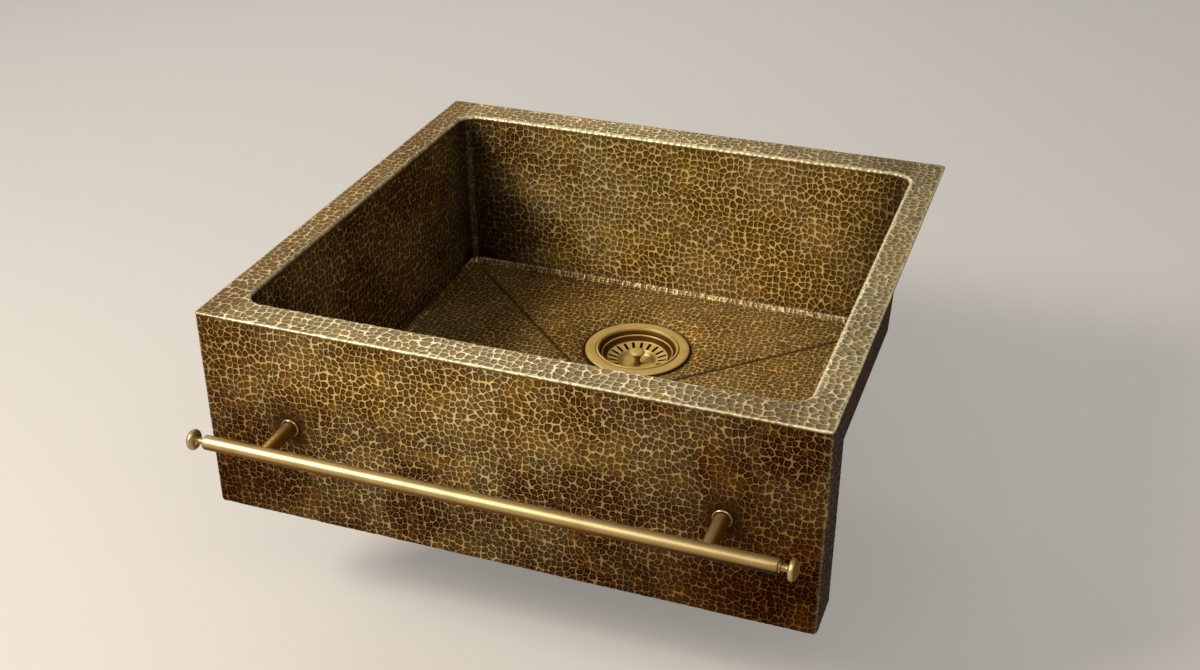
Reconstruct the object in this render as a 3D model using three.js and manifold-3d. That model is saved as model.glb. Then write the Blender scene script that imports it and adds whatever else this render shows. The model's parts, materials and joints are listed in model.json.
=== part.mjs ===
// Apron-front kitchen sink in hammered brass, with a basket strainer waste and a towel rail.
// Millimetres, +X to the right, +Y towards the wall, +Z up.
// The origin is on top of the rear deck, midway along it.
// Pieces are placed from the apron's face (y = 0) and the deck's top (z = 0), and the finished
// assembly is then moved so that the rear deck's middle is at the origin.

import * as THREE from "three";
import { mergeVertices } from "three/addons/utils/BufferGeometryUtils.js";
import Module from "manifold-3d";

const wasm = await Module();
wasm.setup();

// ---------------------------------------------------------------------------
// Driving dimensions
// ---------------------------------------------------------------------------

// Clearances
const SEAM = 0.3; // left at every welded seam, seat and thread
const STUD_HOLE_PLAY = 0.4; // round a stud where it passes through a plate

// Sheet metal body
const WIDTH = 595;
const APRON_HEIGHT = 210; // deck top to the apron's lower edge
const SHEET = 2;
const DECK_THICKNESS = 2.5;
const DECK_EDGE_RADIUS = 1.2;
const FRONT_LEDGE = 36;
const SIDE_DECK = 30;
const REAR_DECK = 40;
const BODY_CORNER_RADIUS = 4;

// Apron
const APRON_SIDE_RETURN = 50; // depth of its sides, from the face
const APRON_FOOT = 26; // depth of its foot, from the face
const APRON_FOOT_RADIUS = 3;

// Bowl
const OPENING_DEPTH = 500; // front to rear, at the lip
const OPENING_CORNER_RADIUS = 20;
const LIP_RADIUS = 4;
const COLLAR_DEPTH = 12; // deck top to where the walls start to lean in
const BOWL_DEPTH = 190; // deck top to the floor beside the walls
const WALL_DRAFT = 8; // how far each wall leans in by the floor
const FLOOR_RADIUS = 6;
const FLOOR_FALL = 4; // from the walls down to the crossing of the creases
const DISH_DEPTH = 7; // from the walls down to the flat round the waste
const DISH_RIM_WIDTH = 24; // sloping ring round that flat
const DISH_MARGIN = 2; // of the flat, outside the flange
const DRAIN_SETBACK = 140; // drain centre to the opening's rear edge
const DRAIN_HOLE_RADIUS = 45;

// Brackets that tie the apron's foot to the bowl
const BRACKET_INSET = 177.5; // from the apron's end to a bracket's middle
const BRACKET_WIDTH = 30;
const BRACKET_HEIGHT = 48;
const BRACKET_SETBACK = 3; // from the foot's rear edge

// Strainer body. Depths are measured down from the underside of its flange.
const FLANGE_RADIUS = 59;
const FLANGE_THICKNESS = 1.8;
const BEAD_WIDTH = 2.6;
const BEAD_HEIGHT = 1.2; // above the flange
const MOUTH_RADIUS = 44;
const THREAD_RADIUS = 43.6;
const CUP_RADIUS = 41.8; // above the ledge that carries the basket
const LEDGE_DEPTH = 5.5;
const LEDGE_WIDTH = 2.4;
const CUP_DEPTH = 42;
const CUP_TAPER = 2.5; // how much narrower the cup is at its foot
const CUP_FOOT_RADIUS = 27;
const CUP_WALL = 3.5;
const SPIGOT_BORE_RADIUS = 19.5;
const SPIGOT_RADIUS = 23.6;
const SPIGOT_LENGTH = 24;
const STOP_SEAT_DROP = 2.5; // height of the cone that the stopper seals on
const GUIDE_BORE_RADIUS = 4.6;
const GUIDE_HUB_WALL = 3;
const GUIDE_HEIGHT = 4;
const GUIDE_SPOKE_WIDTH = 3;
const GUIDE_SPOKES = 3;
const GUIDE_RIM_WALL = 1.5;

// Seals and nuts round the strainer body
const FLANGE_SEAL_THICKNESS = 0.8;
const FLANGE_SEAL_WIDTH = 10;
const FLOOR_GASKET_THICKNESS = 3;
const FLOOR_GASKET_WIDTH = 11;
const FRICTION_RING_THICKNESS = 1;
const LOCKNUT_HEIGHT = 12;
const LOCKNUT_WALL = 7;
const LOCKNUT_LUGS = 6;
const LOCKNUT_LUG_WIDTH = 10;
const LOCKNUT_LUG_REACH = 5;

// Tailpiece and its coupling nut
const TAILPIECE_RADIUS = 19;
const TAILPIECE_WALL = 1.5;
const TAILPIECE_LENGTH = 68;
const TAILPIECE_LIP = 3.4; // how far its flange stands out
const TAILPIECE_LIP_THICKNESS = 1.5;
const TAIL_WASHER_THICKNESS = 2;
const COUPLING_CLEARANCE = 3.4; // between the nut's top and the cup
const COUPLING_FLOOR = 2.5;
const COUPLING_WALL = 2.5; // least thickness, behind the hexagon's flats

// Lift-out basket. Depths are measured down from the underside of the strainer's flange.
const BASKET_RIM_RADIUS = 40.6;
const BASKET_ROLL_RADIUS = 0.9;
const BASKET_SHEET = 1;
const BASKET_SHOULDER_RADIUS = 31.5;
const BASKET_SHOULDER_DEPTH = 10;
const BASKET_WELL_RADIUS = 20;
const BASKET_WELL_DEPTH = 11.4; // at the well's edge
const BASKET_FLOOR_RADIUS = 6;
const BASKET_FLOOR_DEPTH = 22.5;
const SLOT_COUNT = 20;
const SLOT_WIDTH = 1.6;
const SLOT_INNER_RADIUS = 21.2;
const SLOT_OUTER_RADIUS = 30;

// Stem, knob and stopper of the basket
const STEM_RADIUS = 3.3;
const STEM_THREAD_RADIUS = 2.6;
const STEM_RING_RADIUS = 4.4;
const STEM_RING_HEIGHT = 1.6;
const KNOB_RADIUS = 7.4;
const KNOB_HEIGHT = 6;
const KNOB_DEPTH = 3; // of its crown, below the flange's underside
const STOPPER_RADIUS = 24.5;
const STOPPER_THICKNESS = 4.5;
const SLEEVE_WALL = 3;
const BACKING_WASHER_RADIUS = 14;
const BACKING_WASHER_THICKNESS = 1.2;
const STOPPER_NUT_RADIUS = 5.2; // across its corners
const STOPPER_NUT_HEIGHT = 3;
const STOPPER_NUT_CLEARANCE = 1.5; // between that nut and the stem's guide
const GRIP_RING_RADIUS = 0.9; // of the rubber ring's own section

// Towel rail
const RAIL_DROP = 106; // deck top to the bar's axis
const RAIL_STANDOFF = 48; // apron face to the bar's axis
const RAIL_INSET = 27.5; // from the apron's end to the bar's end
const RAIL_RADIUS = 7;
const RAIL_WALL = 2;
const RAIL_CHAMFER = 1;
const POST_INSET = 88.5; // from the apron's end to a post's middle
const POST_RADIUS = 6.8;
const COLLAR_RADIUS = 9.2;
const COLLAR_THICKNESS = 2;
const FINIAL_DISC_RADIUS = 10;
const FINIAL_DISC_THICKNESS = 7;
const FINIAL_NECK_RADIUS = 3;
const FINIAL_NECK_LENGTH = 8.5;
const FINIAL_SHOULDER_RADIUS = 5;
const FINIAL_SHOULDER_LENGTH = 1.5;
const FINIAL_SPIGOT_LENGTH = 10;

// Fixings behind the apron
const STUD_RADIUS = 2.9;
const STUD_TAIL = 3; // past the nut
const DOUBLER_SIZE = 44;
const DOUBLER_THICKNESS = 3;
const WASHER_RADIUS = 6.5;
const WASHER_THICKNESS = 1.5;
const NUT_RADIUS = 5.8; // across its corners
const NUT_HEIGHT = 5;

// Smoothness of the faceted rounds
const ROUND_STEPS = 40;
const SMALL_ROUND_STEPS = 20;
const CORNER_STEPS = 5;
const FILLET_STEPS = 4;

// ---------------------------------------------------------------------------
// Places that follow from the dimensions
// ---------------------------------------------------------------------------

const BODY_DEPTH = FRONT_LEDGE + OPENING_DEPTH + REAR_DECK;
const OPENING_WIDTH = WIDTH - 2 * SIDE_DECK;
const OPENING_CENTRE_Y = FRONT_LEDGE + OPENING_DEPTH / 2;
const WALL_FOOT_Z = -BOWL_DEPTH + FLOOR_RADIUS;
const DRAIN_Y = FRONT_LEDGE + OPENING_DEPTH - DRAIN_SETBACK;
const DISH_Z = -BOWL_DEPTH - DISH_DEPTH;
const FLANGE_Z = DISH_Z + SEAM + FLANGE_SEAL_THICKNESS + SEAM;
const FLANGE_TO_DISH = FLANGE_Z - DISH_Z;
const SEAT_FOOT = -CUP_DEPTH - STOP_SEAT_DROP;
const SEAT_SLOPE = STOP_SEAT_DROP / (CUP_FOOT_RADIUS - SPIGOT_BORE_RADIUS);
const CUP_UNDERSIDE = SEAT_FOOT - CUP_WALL;
const SPIGOT_END = SEAT_FOOT - SPIGOT_LENGTH;
const STEM_BORE_RADIUS = STEM_THREAD_RADIUS + SEAM;
const STOPPER_FOOT_RADIUS = SPIGOT_BORE_RADIUS + SEAM;
const STOPPER_EDGE = -CUP_DEPTH - (CUP_FOOT_RADIUS - STOPPER_RADIUS) * SEAT_SLOPE + SEAM;
const STOPPER_FOOT = STOPPER_EDGE - (STOPPER_RADIUS - STOPPER_FOOT_RADIUS) * SEAT_SLOPE;
const STOPPER_TOP = STOPPER_FOOT + STOPPER_THICKNESS;
const BACKING_FOOT = STOPPER_FOOT - SEAM - BACKING_WASHER_THICKNESS;
const STOPPER_NUT_FOOT = BACKING_FOOT - SEAM - STOPPER_NUT_HEIGHT;
const GUIDE_TOP = STOPPER_NUT_FOOT - STOPPER_NUT_CLEARANCE;
const GUIDE_FOOT = GUIDE_TOP - GUIDE_HEIGHT;
const GRIP_RING_CENTRE = GUIDE_BORE_RADIUS - SEAM - GRIP_RING_RADIUS;
const RAIL_BORE_RADIUS = RAIL_RADIUS - RAIL_WALL;
const STUD_BORE_RADIUS = STUD_RADIUS + STUD_HOLE_PLAY;
const RAIL_LENGTH = WIDTH - 2 * RAIL_INSET;
const POST_PLACES = { left: POST_INSET - WIDTH / 2, right: WIDTH / 2 - POST_INSET };
const BRACKET_PLACES = { left: BRACKET_INSET - WIDTH / 2, right: WIDTH / 2 - BRACKET_INSET };

// ---------------------------------------------------------------------------
// Materials
// ---------------------------------------------------------------------------

const hammeredBrass = new THREE.MeshStandardMaterial({ color: 0x7d6431, roughness: 0.45, metalness: 1 });
const satinBrass = new THREE.MeshStandardMaterial({ color: 0xb08d4f, roughness: 0.3, metalness: 1 });
const rawBrass = new THREE.MeshStandardMaterial({ color: 0xa5863f, roughness: 0.5, metalness: 1 });
const steel = new THREE.MeshStandardMaterial({ color: 0x9a9c9f, roughness: 0.4, metalness: 1 });
const rubber = new THREE.MeshStandardMaterial({ color: 0x1d1d1f, roughness: 0.85, metalness: 0 });
const fibre = new THREE.MeshStandardMaterial({ color: 0x8a6a4a, roughness: 0.9, metalness: 0 });
const nylon = new THREE.MeshStandardMaterial({ color: 0xe6e3da, roughness: 0.6, metalness: 0 });

// ---------------------------------------------------------------------------
// Joining and cutting
// ---------------------------------------------------------------------------

// A closed geometry as a solid, with its shared vertices merged and its flat triangles dropped.
function solidFrom(geometry) {
  const bare = geometry.clone();
  bare.deleteAttribute("normal");
  bare.deleteAttribute("uv");
  const merged = mergeVertices(bare);
  const corners = [];
  for (let i = 0; i < merged.index.count; i += 3) {
    const [a, b, c] = [0, 1, 2].map((step) => merged.index.getX(i + step));
    if (a !== b && b !== c && c !== a) corners.push(a, b, c);
  }
  const mesh = new wasm.Mesh({
    numProp: 3,
    vertProperties: Float32Array.from(merged.attributes.position.array),
    triVerts: Uint32Array.from(corners),
  });
  return new wasm.Manifold(mesh);
}

function geometryFrom(solid) {
  const mesh = solid.getMesh();
  const geometry = new THREE.BufferGeometry();
  geometry.setAttribute("position", new THREE.BufferAttribute(mesh.vertProperties, 3));
  geometry.setIndex(new THREE.BufferAttribute(mesh.triVerts, 1));
  geometry.computeVertexNormals();
  return geometry;
}

function join(first, ...others) {
  return geometryFrom(others.reduce((solid, other) => solid.add(solidFrom(other)), solidFrom(first)));
}

function cut(first, ...tools) {
  return geometryFrom(tools.reduce((solid, tool) => solid.subtract(solidFrom(tool)), solidFrom(first)));
}

function common(first, second) {
  return geometryFrom(solidFrom(first).intersect(solidFrom(second)));
}

// ---------------------------------------------------------------------------
// Shapes
// ---------------------------------------------------------------------------

// A solid turned about Z. The profile is [radius, z] pairs, anticlockwise, and it either closes on
// itself or starts and ends on the axis.
function turned(profile, steps = ROUND_STEPS) {
  const points = profile.map(([radius, z]) => new THREE.Vector2(radius, z));
  if (profile[0][0] > 0) points.push(points[0].clone());
  const shape = new THREE.LatheGeometry(points, steps);
  shape.rotateX(Math.PI / 2);
  return shape;
}

function rod(radius, bottom, top, steps = SMALL_ROUND_STEPS) {
  return turned([[0, bottom], [radius, bottom], [radius, top], [0, top]], steps);
}

function ring(bore, radius, bottom, top, steps = ROUND_STEPS) {
  return turned([[bore, bottom], [radius, bottom], [radius, top], [bore, top]], steps);
}

function hexRing(bore, cornerRadius, bottom, top) {
  return cut(rod(cornerRadius, bottom, top, 6), rod(bore, bottom - 1, top + 1));
}

function box(left, right, front, rear, bottom, top) {
  const shape = new THREE.BoxGeometry(right - left, rear - front, top - bottom);
  shape.translate((left + right) / 2, (front + rear) / 2, (bottom + top) / 2);
  return shape;
}

// Points of a quarter round, from angle 0 to 90 degrees.
function quarter(radius) {
  return Array.from({ length: FILLET_STEPS + 1 }, (_, step) => {
    const angle = (step / FILLET_STEPS) * (Math.PI / 2);
    return [radius * Math.cos(angle), radius * Math.sin(angle)];
  });
}

// One level loop in the shape of a rectangle with round corners, anticlockwise from above.
function roundedLoop(centreY, width, depth, cornerRadius, z) {
  const radius = Math.max(cornerRadius, SEAM);
  const signs = [[1, 1], [-1, 1], [-1, -1], [1, -1]];
  return signs.flatMap(([signX, signY], corner) => {
    const centreX = signX * (width / 2 - radius);
    const cornerY = centreY + signY * (depth / 2 - radius);
    return Array.from({ length: CORNER_STEPS + 1 }, (_, step) => {
      const angle = (corner + step / CORNER_STEPS) * (Math.PI / 2);
      return [centreX + radius * Math.cos(angle), cornerY + radius * Math.sin(angle), z];
    });
  });
}

// The skin that runs through the loops in turn. A ring closes back onto the first loop, and a
// block is capped flat at its first and last loops.
function skin(loops, isRing) {
  const count = loops[0].length;
  const positions = new Float32Array(loops.flat(2));
  const index = [];
  const bands = isRing ? loops.length : loops.length - 1;
  for (let band = 0; band < bands; band += 1) {
    const low = band * count;
    const high = ((band + 1) % loops.length) * count;
    for (let i = 0; i < count; i += 1) {
      const next = (i + 1) % count;
      index.push(low + i, low + next, high + next, low + i, high + next, high + i);
    }
  }
  const top = (loops.length - 1) * count;
  for (let i = 1; i < count - 1 && !isRing; i += 1) {
    index.push(0, i + 1, i, top, top + i, top + i + 1);
  }
  const geometry = new THREE.BufferGeometry();
  geometry.setAttribute("position", new THREE.BufferAttribute(positions, 3));
  geometry.setIndex(index);
  return geometry;
}

function capped(loops) {
  return skin(loops, false);
}

function ringed(loops) {
  return skin(loops, true);
}

// Copies of a shape, turned evenly about Z, with the first one turned by a part of a turn.
function around(count, firstTurn, makeShape) {
  return Array.from({ length: count }, (_, i) => {
    return makeShape().rotateZ((i / count + firstTurn) * 2 * Math.PI);
  });
}

function alongX(shape) {
  return shape.rotateY(Math.PI / 2);
}

function alongY(shape) {
  return shape.rotateX(-Math.PI / 2);
}

function moved(shape, x, y, z) {
  return shape.translate(x, y, z);
}

function named(name, geometry, material) {
  const mesh = new THREE.Mesh(geometry, material);
  mesh.name = name;
  return mesh;
}

// ---------------------------------------------------------------------------
// Sheet metal body
// ---------------------------------------------------------------------------

// A loop that follows the bowl's opening, set in from it by a distance.
function bowlLoop(inset, z) {
  const width = OPENING_WIDTH - 2 * inset;
  const depth = OPENING_DEPTH - 2 * inset;
  return roundedLoop(OPENING_CENTRE_Y, width, depth, OPENING_CORNER_RADIUS - inset, z);
}

function bodyLoop(inset, z) {
  const width = WIDTH - 2 * inset;
  const depth = BODY_DEPTH - 2 * inset;
  return roundedLoop(BODY_DEPTH / 2, width, depth, BODY_CORNER_RADIUS - inset, z);
}

// The flat deck, whose inner edge is rolled down to meet the walls.
function deckRim() {
  const lip = quarter(LIP_RADIUS).reverse();
  return ringed([
    bodyLoop(0, -DECK_THICKNESS),
    bodyLoop(0, -DECK_EDGE_RADIUS),
    bodyLoop(DECK_EDGE_RADIUS, 0),
    ...lip.map(([across, up]) => bowlLoop(across - LIP_RADIUS, up - LIP_RADIUS)),
    bowlLoop(-SHEET, -LIP_RADIUS),
    bowlLoop(-SHEET, -DECK_THICKNESS),
  ]);
}

// The four walls, folded from one strip: upright under the lip, then leaning in to the floor.
function bowlWalls() {
  const top = -LIP_RADIUS - SEAM;
  const foot = WALL_FOOT_Z + SEAM;
  return ringed([
    bowlLoop(-SHEET, -COLLAR_DEPTH),
    bowlLoop(-SHEET, top),
    bowlLoop(0, top),
    bowlLoop(0, -COLLAR_DEPTH),
    bowlLoop(WALL_DRAFT, foot),
    bowlLoop(WALL_DRAFT - SHEET, foot),
  ]);
}

// The floor's four flats, which fall from its flat edges at the given height to the crossing of
// their creases, as a solid that also reaches a little above those edges.
function fourFlats(height) {
  const inset = WALL_DRAFT + FLOOR_RADIUS;
  const spare = SHEET / 2;
  const fall = FLOOR_FALL + spare;
  const diagonal = Math.SQRT2 * (fall / FLOOR_FALL);
  const funnel = new THREE.ConeGeometry(1, fall, 4);
  funnel.rotateY(Math.PI / 4);
  funnel.scale((OPENING_WIDTH / 2 - inset) * diagonal, 1, (OPENING_DEPTH / 2 - inset) * diagonal);
  funnel.rotateX(-Math.PI / 2);
  const plot = capped([bowlLoop(inset, height - 2 * FLOOR_FALL), bowlLoop(inset, height + 2 * spare)]);
  return common(moved(funnel, 0, OPENING_CENTRE_Y, height + spare - fall / 2), plot);
}

// The round dish that the waste's flange lies in, as a solid from its flat up past the floor.
function dish(flatZ) {
  const flat = FLANGE_RADIUS + DISH_MARGIN;
  const top = flatZ + DISH_DEPTH;
  const profile = [[0, flatZ], [flat, flatZ], [flat + DISH_RIM_WIDTH, top], [0, top]];
  return moved(turned(profile), 0, DRAIN_Y, 0);
}

// The pan: edges turned up to meet the walls, four flats that fall to the crossing of their
// creases, and the dish with the drain hole.
function bowlFloor() {
  const arc = quarter(1).reverse();
  const outerRadius = FLOOR_RADIUS + SHEET;
  const edge = WALL_DRAFT + FLOOR_RADIUS;
  const outside = capped([
    ...arc.map(([across, up]) => bowlLoop(edge - outerRadius * across, WALL_FOOT_Z - outerRadius * up)),
  ]);
  const inside = capped([
    ...arc.map(([across, up]) => bowlLoop(edge - FLOOR_RADIUS * across, WALL_FOOT_Z - FLOOR_RADIUS * up)),
    bowlLoop(WALL_DRAFT, WALL_FOOT_Z + SHEET),
  ]);
  const shell = join(outside, fourFlats(-BOWL_DEPTH - SHEET), dish(DISH_Z - SHEET));
  const drill = rod(DRAIN_HOLE_RADIUS, DISH_Z - 2 * SHEET, DISH_Z + SHEET, ROUND_STEPS);
  const hole = moved(drill, 0, DRAIN_Y, 0);
  return cut(shell, inside, fourFlats(-BOWL_DEPTH), dish(DISH_Z), hole);
}

// The apron's outer skin, or with a positive inset its inner one, as a block.
function apronBlock(inset, rear, top) {
  const radius = Math.max(APRON_FOOT_RADIUS - inset, SEAM);
  const bottom = -APRON_HEIGHT + inset;
  const loopAt = (inward, z) => {
    const front = inset + inward;
    const width = WIDTH - 2 * front;
    return roundedLoop((front + rear) / 2, width, rear - front, BODY_CORNER_RADIUS - front, z);
  };
  const foot = quarter(radius).reverse();
  const lower = foot.map(([across, up]) => loopAt(radius - across, bottom + radius - up));
  return capped([...lower, loopAt(0, top)]);
}

// The apron's welded sheets: its face, a side at each end and a foot along its lower edge. The
// corners between them are dressed round.
function apronSheets() {
  const top = -DECK_THICKNESS - SEAM;
  const past = APRON_SIDE_RETURN + 4 * BODY_CORNER_RADIUS;
  const bottom = -2 * APRON_HEIGHT;
  const halfInside = WIDTH / 2 - SHEET;
  const halfFoot = WIDTH / 2 - BODY_CORNER_RADIUS;
  const seam = BODY_CORNER_RADIUS;
  const outside = apronBlock(0, past, top);
  const inside = apronBlock(SHEET, past + WIDTH, top + SHEET);
  const rear = box(-WIDTH, WIDTH, APRON_SIDE_RETURN, 2 * past, bottom, APRON_HEIGHT);
  const footEnd = box(-halfInside, halfInside, APRON_FOOT, 2 * past, bottom, top);
  const shell = cut(outside, inside, rear, footEnd);
  const holes = Object.values(POST_PLACES).map((x) => {
    return moved(alongY(rod(STUD_BORE_RADIUS, -SHEET, 2 * SHEET)), x, 0, -RAIL_DROP);
  });
  const face = cut(common(shell, box(-WIDTH, WIDTH, -SHEET, seam, bottom, 0)), ...holes);
  const left = common(shell, box(-WIDTH, -halfFoot, seam + SEAM, past, bottom, 0));
  const right = common(shell, box(halfFoot, WIDTH, seam + SEAM, past, bottom, 0));
  const foot = common(shell, box(SEAM - halfFoot, halfFoot - SEAM, seam + SEAM, past, bottom, 0));
  return [
    named("apron_face", face, hammeredBrass),
    named("apron_side_left", left, hammeredBrass),
    named("apron_side_right", right, hammeredBrass),
    named("apron_foot", foot, hammeredBrass),
  ];
}

// How far back the outside of the bowl's front wall is at a height.
function frontWallY(z) {
  const share = (-z - COLLAR_DEPTH) / (-WALL_FOOT_Z - COLLAR_DEPTH);
  return FRONT_LEDGE - SHEET + WALL_DRAFT * share;
}

// A bracket that stands on the apron's foot and reaches back to the bowl's front wall.
function apronBracket(x) {
  const bottom = -APRON_HEIGHT + SHEET + SEAM;
  const top = bottom + BRACKET_HEIGHT;
  const web = APRON_FOOT - BRACKET_SETBACK;
  const outline = new THREE.Shape([
    new THREE.Vector2(APRON_FOOT_RADIUS + SHEET, bottom),
    new THREE.Vector2(web, bottom),
    new THREE.Vector2(web, top - SHEET),
    new THREE.Vector2(frontWallY(top - SHEET) - SEAM, top - SHEET),
    new THREE.Vector2(frontWallY(top) - SEAM, top),
    new THREE.Vector2(web - SHEET, top),
    new THREE.Vector2(web - SHEET, bottom + SHEET),
    new THREE.Vector2(APRON_FOOT_RADIUS + SHEET, bottom + SHEET),
  ]);
  const bracket = new THREE.ExtrudeGeometry(outline, { depth: BRACKET_WIDTH, bevelEnabled: false });
  bracket.rotateX(Math.PI / 2);
  bracket.rotateZ(Math.PI / 2);
  return moved(bracket, x - BRACKET_WIDTH / 2, 0, 0);
}

function sheetMetalBody() {
  const body = new THREE.Group();
  body.add(
    named("deck_rim", deckRim(), hammeredBrass),
    named("bowl_walls", bowlWalls(), hammeredBrass),
    named("bowl_floor", bowlFloor(), hammeredBrass),
    ...apronSheets(),
    named("apron_bracket_left", apronBracket(BRACKET_PLACES.left), rawBrass),
    named("apron_bracket_right", apronBracket(BRACKET_PLACES.right), rawBrass),
  );
  return body;
}

// ---------------------------------------------------------------------------
// Waste: strainer body, its seals and nuts, and the tailpiece
// ---------------------------------------------------------------------------

// The guide pressed into the spigot: a rim and spokes round a bored hub for the basket's stem.
function stemGuide() {
  const rimRadius = SPIGOT_BORE_RADIUS - SEAM;
  const reach = rimRadius - GUIDE_RIM_WALL / 2;
  const halfWidth = GUIDE_SPOKE_WIDTH / 2;
  const spokes = around(GUIDE_SPOKES, 0.25, () => {
    return box(0, reach, -halfWidth, halfWidth, GUIDE_FOOT, GUIDE_TOP);
  });
  const hub = rod(GUIDE_BORE_RADIUS + GUIDE_HUB_WALL, GUIDE_FOOT, GUIDE_TOP);
  const rim = ring(rimRadius - GUIDE_RIM_WALL, rimRadius, GUIDE_FOOT, GUIDE_TOP);
  return cut(join(hub, rim, ...spokes), rod(GUIDE_BORE_RADIUS, GUIDE_FOOT - SEAM, GUIDE_TOP + SEAM));
}

// The pressed body: flange with its bead, mouth, ledge for the basket's rim, and cup.
function strainerBody() {
  const flangeTop = FLANGE_THICKNESS;
  const beadTop = flangeTop + BEAD_HEIGHT;
  const beadOuter = MOUTH_RADIUS + BEAD_WIDTH;
  const cupTop = CUP_RADIUS - LEDGE_WIDTH;
  const cupFoot = cupTop - CUP_TAPER;
  const seatTop = -CUP_DEPTH;
  return turned([
    [SPIGOT_BORE_RADIUS, CUP_UNDERSIDE],
    [SPIGOT_RADIUS, CUP_UNDERSIDE],
    [CUP_FOOT_RADIUS + CUP_WALL, seatTop - CUP_WALL],
    [cupFoot + CUP_WALL, seatTop + CUP_TAPER * 2],
    [THREAD_RADIUS, seatTop + CUP_DEPTH / 3],
    [THREAD_RADIUS, 0],
    [FLANGE_RADIUS, 0],
    [FLANGE_RADIUS, flangeTop / 2],
    [FLANGE_RADIUS - flangeTop / 2, flangeTop],
    [beadOuter, flangeTop],
    [beadOuter - BEAD_WIDTH / 4, beadTop],
    [MOUTH_RADIUS + BEAD_WIDTH / 4, beadTop],
    [MOUTH_RADIUS, flangeTop],
    [CUP_RADIUS, -FLANGE_THICKNESS],
    [CUP_RADIUS, -LEDGE_DEPTH],
    [cupTop, -LEDGE_DEPTH],
    [cupFoot, seatTop + CUP_TAPER * 3],
    [CUP_FOOT_RADIUS, seatTop],
    [SPIGOT_BORE_RADIUS, SEAT_FOOT],
  ]);
}

// The threaded outlet, brazed under the cup.
function strainerSpigot() {
  return ring(SPIGOT_BORE_RADIUS, SPIGOT_RADIUS, SPIGOT_END, CUP_UNDERSIDE - SEAM);
}

// The large nut under the bowl, with lugs for a spanner.
function locknut(bottom, top) {
  const bore = THREAD_RADIUS + SEAM;
  const outer = bore + LOCKNUT_WALL;
  const halfWidth = LOCKNUT_LUG_WIDTH / 2;
  const lugs = around(LOCKNUT_LUGS, 0, () => {
    return box(outer - LOCKNUT_WALL / 2, outer + LOCKNUT_LUG_REACH, -halfWidth, halfWidth, bottom, top);
  });
  return join(ring(bore, outer, bottom, top), ...lugs);
}

function sealsAndLocknut() {
  const bore = THREAD_RADIUS + SEAM;
  const underFloor = -FLANGE_TO_DISH - SHEET;
  const gasketTop = underFloor - SEAM;
  const gasketBottom = gasketTop - FLOOR_GASKET_THICKNESS;
  const frictionTop = gasketBottom - SEAM;
  const frictionBottom = frictionTop - FRICTION_RING_THICKNESS;
  const nutTop = frictionBottom - SEAM;
  const sealBore = DRAIN_HOLE_RADIUS + SEAM;
  const seal = ring(sealBore, sealBore + FLANGE_SEAL_WIDTH, -SEAM - FLANGE_SEAL_THICKNESS, -SEAM);
  return [
    named("flange_seal", seal, rubber),
    named("floor_gasket", ring(bore, bore + FLOOR_GASKET_WIDTH, gasketBottom, gasketTop), rubber),
    named("friction_ring", ring(bore, bore + FLOOR_GASKET_WIDTH, frictionBottom, frictionTop), fibre),
    named("locknut", locknut(nutTop - LOCKNUT_HEIGHT, nutTop), rawBrass),
  ];
}

// The washer, the tailpiece and the coupling nut that draws its flange up to the spigot.
function tailpieceSet() {
  const washerTop = SPIGOT_END - SEAM;
  const washerBottom = washerTop - TAIL_WASHER_THICKNESS;
  const lipTop = washerBottom - SEAM;
  const lipBottom = lipTop - TAILPIECE_LIP_THICKNESS;
  const bore = TAILPIECE_RADIUS - TAILPIECE_WALL;
  const lipRadius = TAILPIECE_RADIUS + TAILPIECE_LIP;
  const tailpiece = turned([
    [bore, lipTop - TAILPIECE_LENGTH],
    [TAILPIECE_RADIUS, lipTop - TAILPIECE_LENGTH],
    [TAILPIECE_RADIUS, lipBottom],
    [lipRadius, lipBottom],
    [lipRadius, lipTop],
    [bore, lipTop],
  ]);
  const shelfTop = lipBottom - SEAM;
  const nutBottom = shelfTop - COUPLING_FLOOR;
  const nutTop = CUP_UNDERSIDE - COUPLING_CLEARANCE;
  const threadBore = SPIGOT_RADIUS + SEAM;
  const cornerRadius = (threadBore + COUPLING_WALL) / Math.cos(Math.PI / 6);
  const couplingNut = cut(
    rod(cornerRadius, nutBottom, nutTop, 6),
    rod(threadBore, shelfTop, nutTop + SEAM, ROUND_STEPS),
    rod(TAILPIECE_RADIUS + SEAM, nutBottom - SEAM, shelfTop + SEAM, ROUND_STEPS),
  );
  return [
    named("tail_washer", ring(bore, lipRadius, washerBottom, washerTop), nylon),
    named("tailpiece", tailpiece, satinBrass),
    named("coupling_nut", couplingNut, satinBrass),
  ];
}

// ---------------------------------------------------------------------------
// Lift-out basket
// ---------------------------------------------------------------------------

// A round wire's section, as the profile of a turned ring.
function wireRing(centreRadius, wireRadius, z, sides = 8) {
  return Array.from({ length: sides }, (_, i) => {
    const angle = (i / sides) * 2 * Math.PI;
    return [centreRadius + wireRadius * Math.cos(angle), z + wireRadius * Math.sin(angle)];
  });
}

// The upper face of the basket's well, from its flat floor up to its edge.
function wellProfile() {
  const rise = BASKET_FLOOR_DEPTH - BASKET_WELL_DEPTH;
  const spread = BASKET_WELL_RADIUS - BASKET_FLOOR_RADIUS;
  return Array.from({ length: FILLET_STEPS + 1 }, (_, step) => {
    const share = step / FILLET_STEPS;
    return [BASKET_FLOOR_RADIUS + spread * share, -BASKET_FLOOR_DEPTH + rise * share ** 1.5];
  });
}

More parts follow.
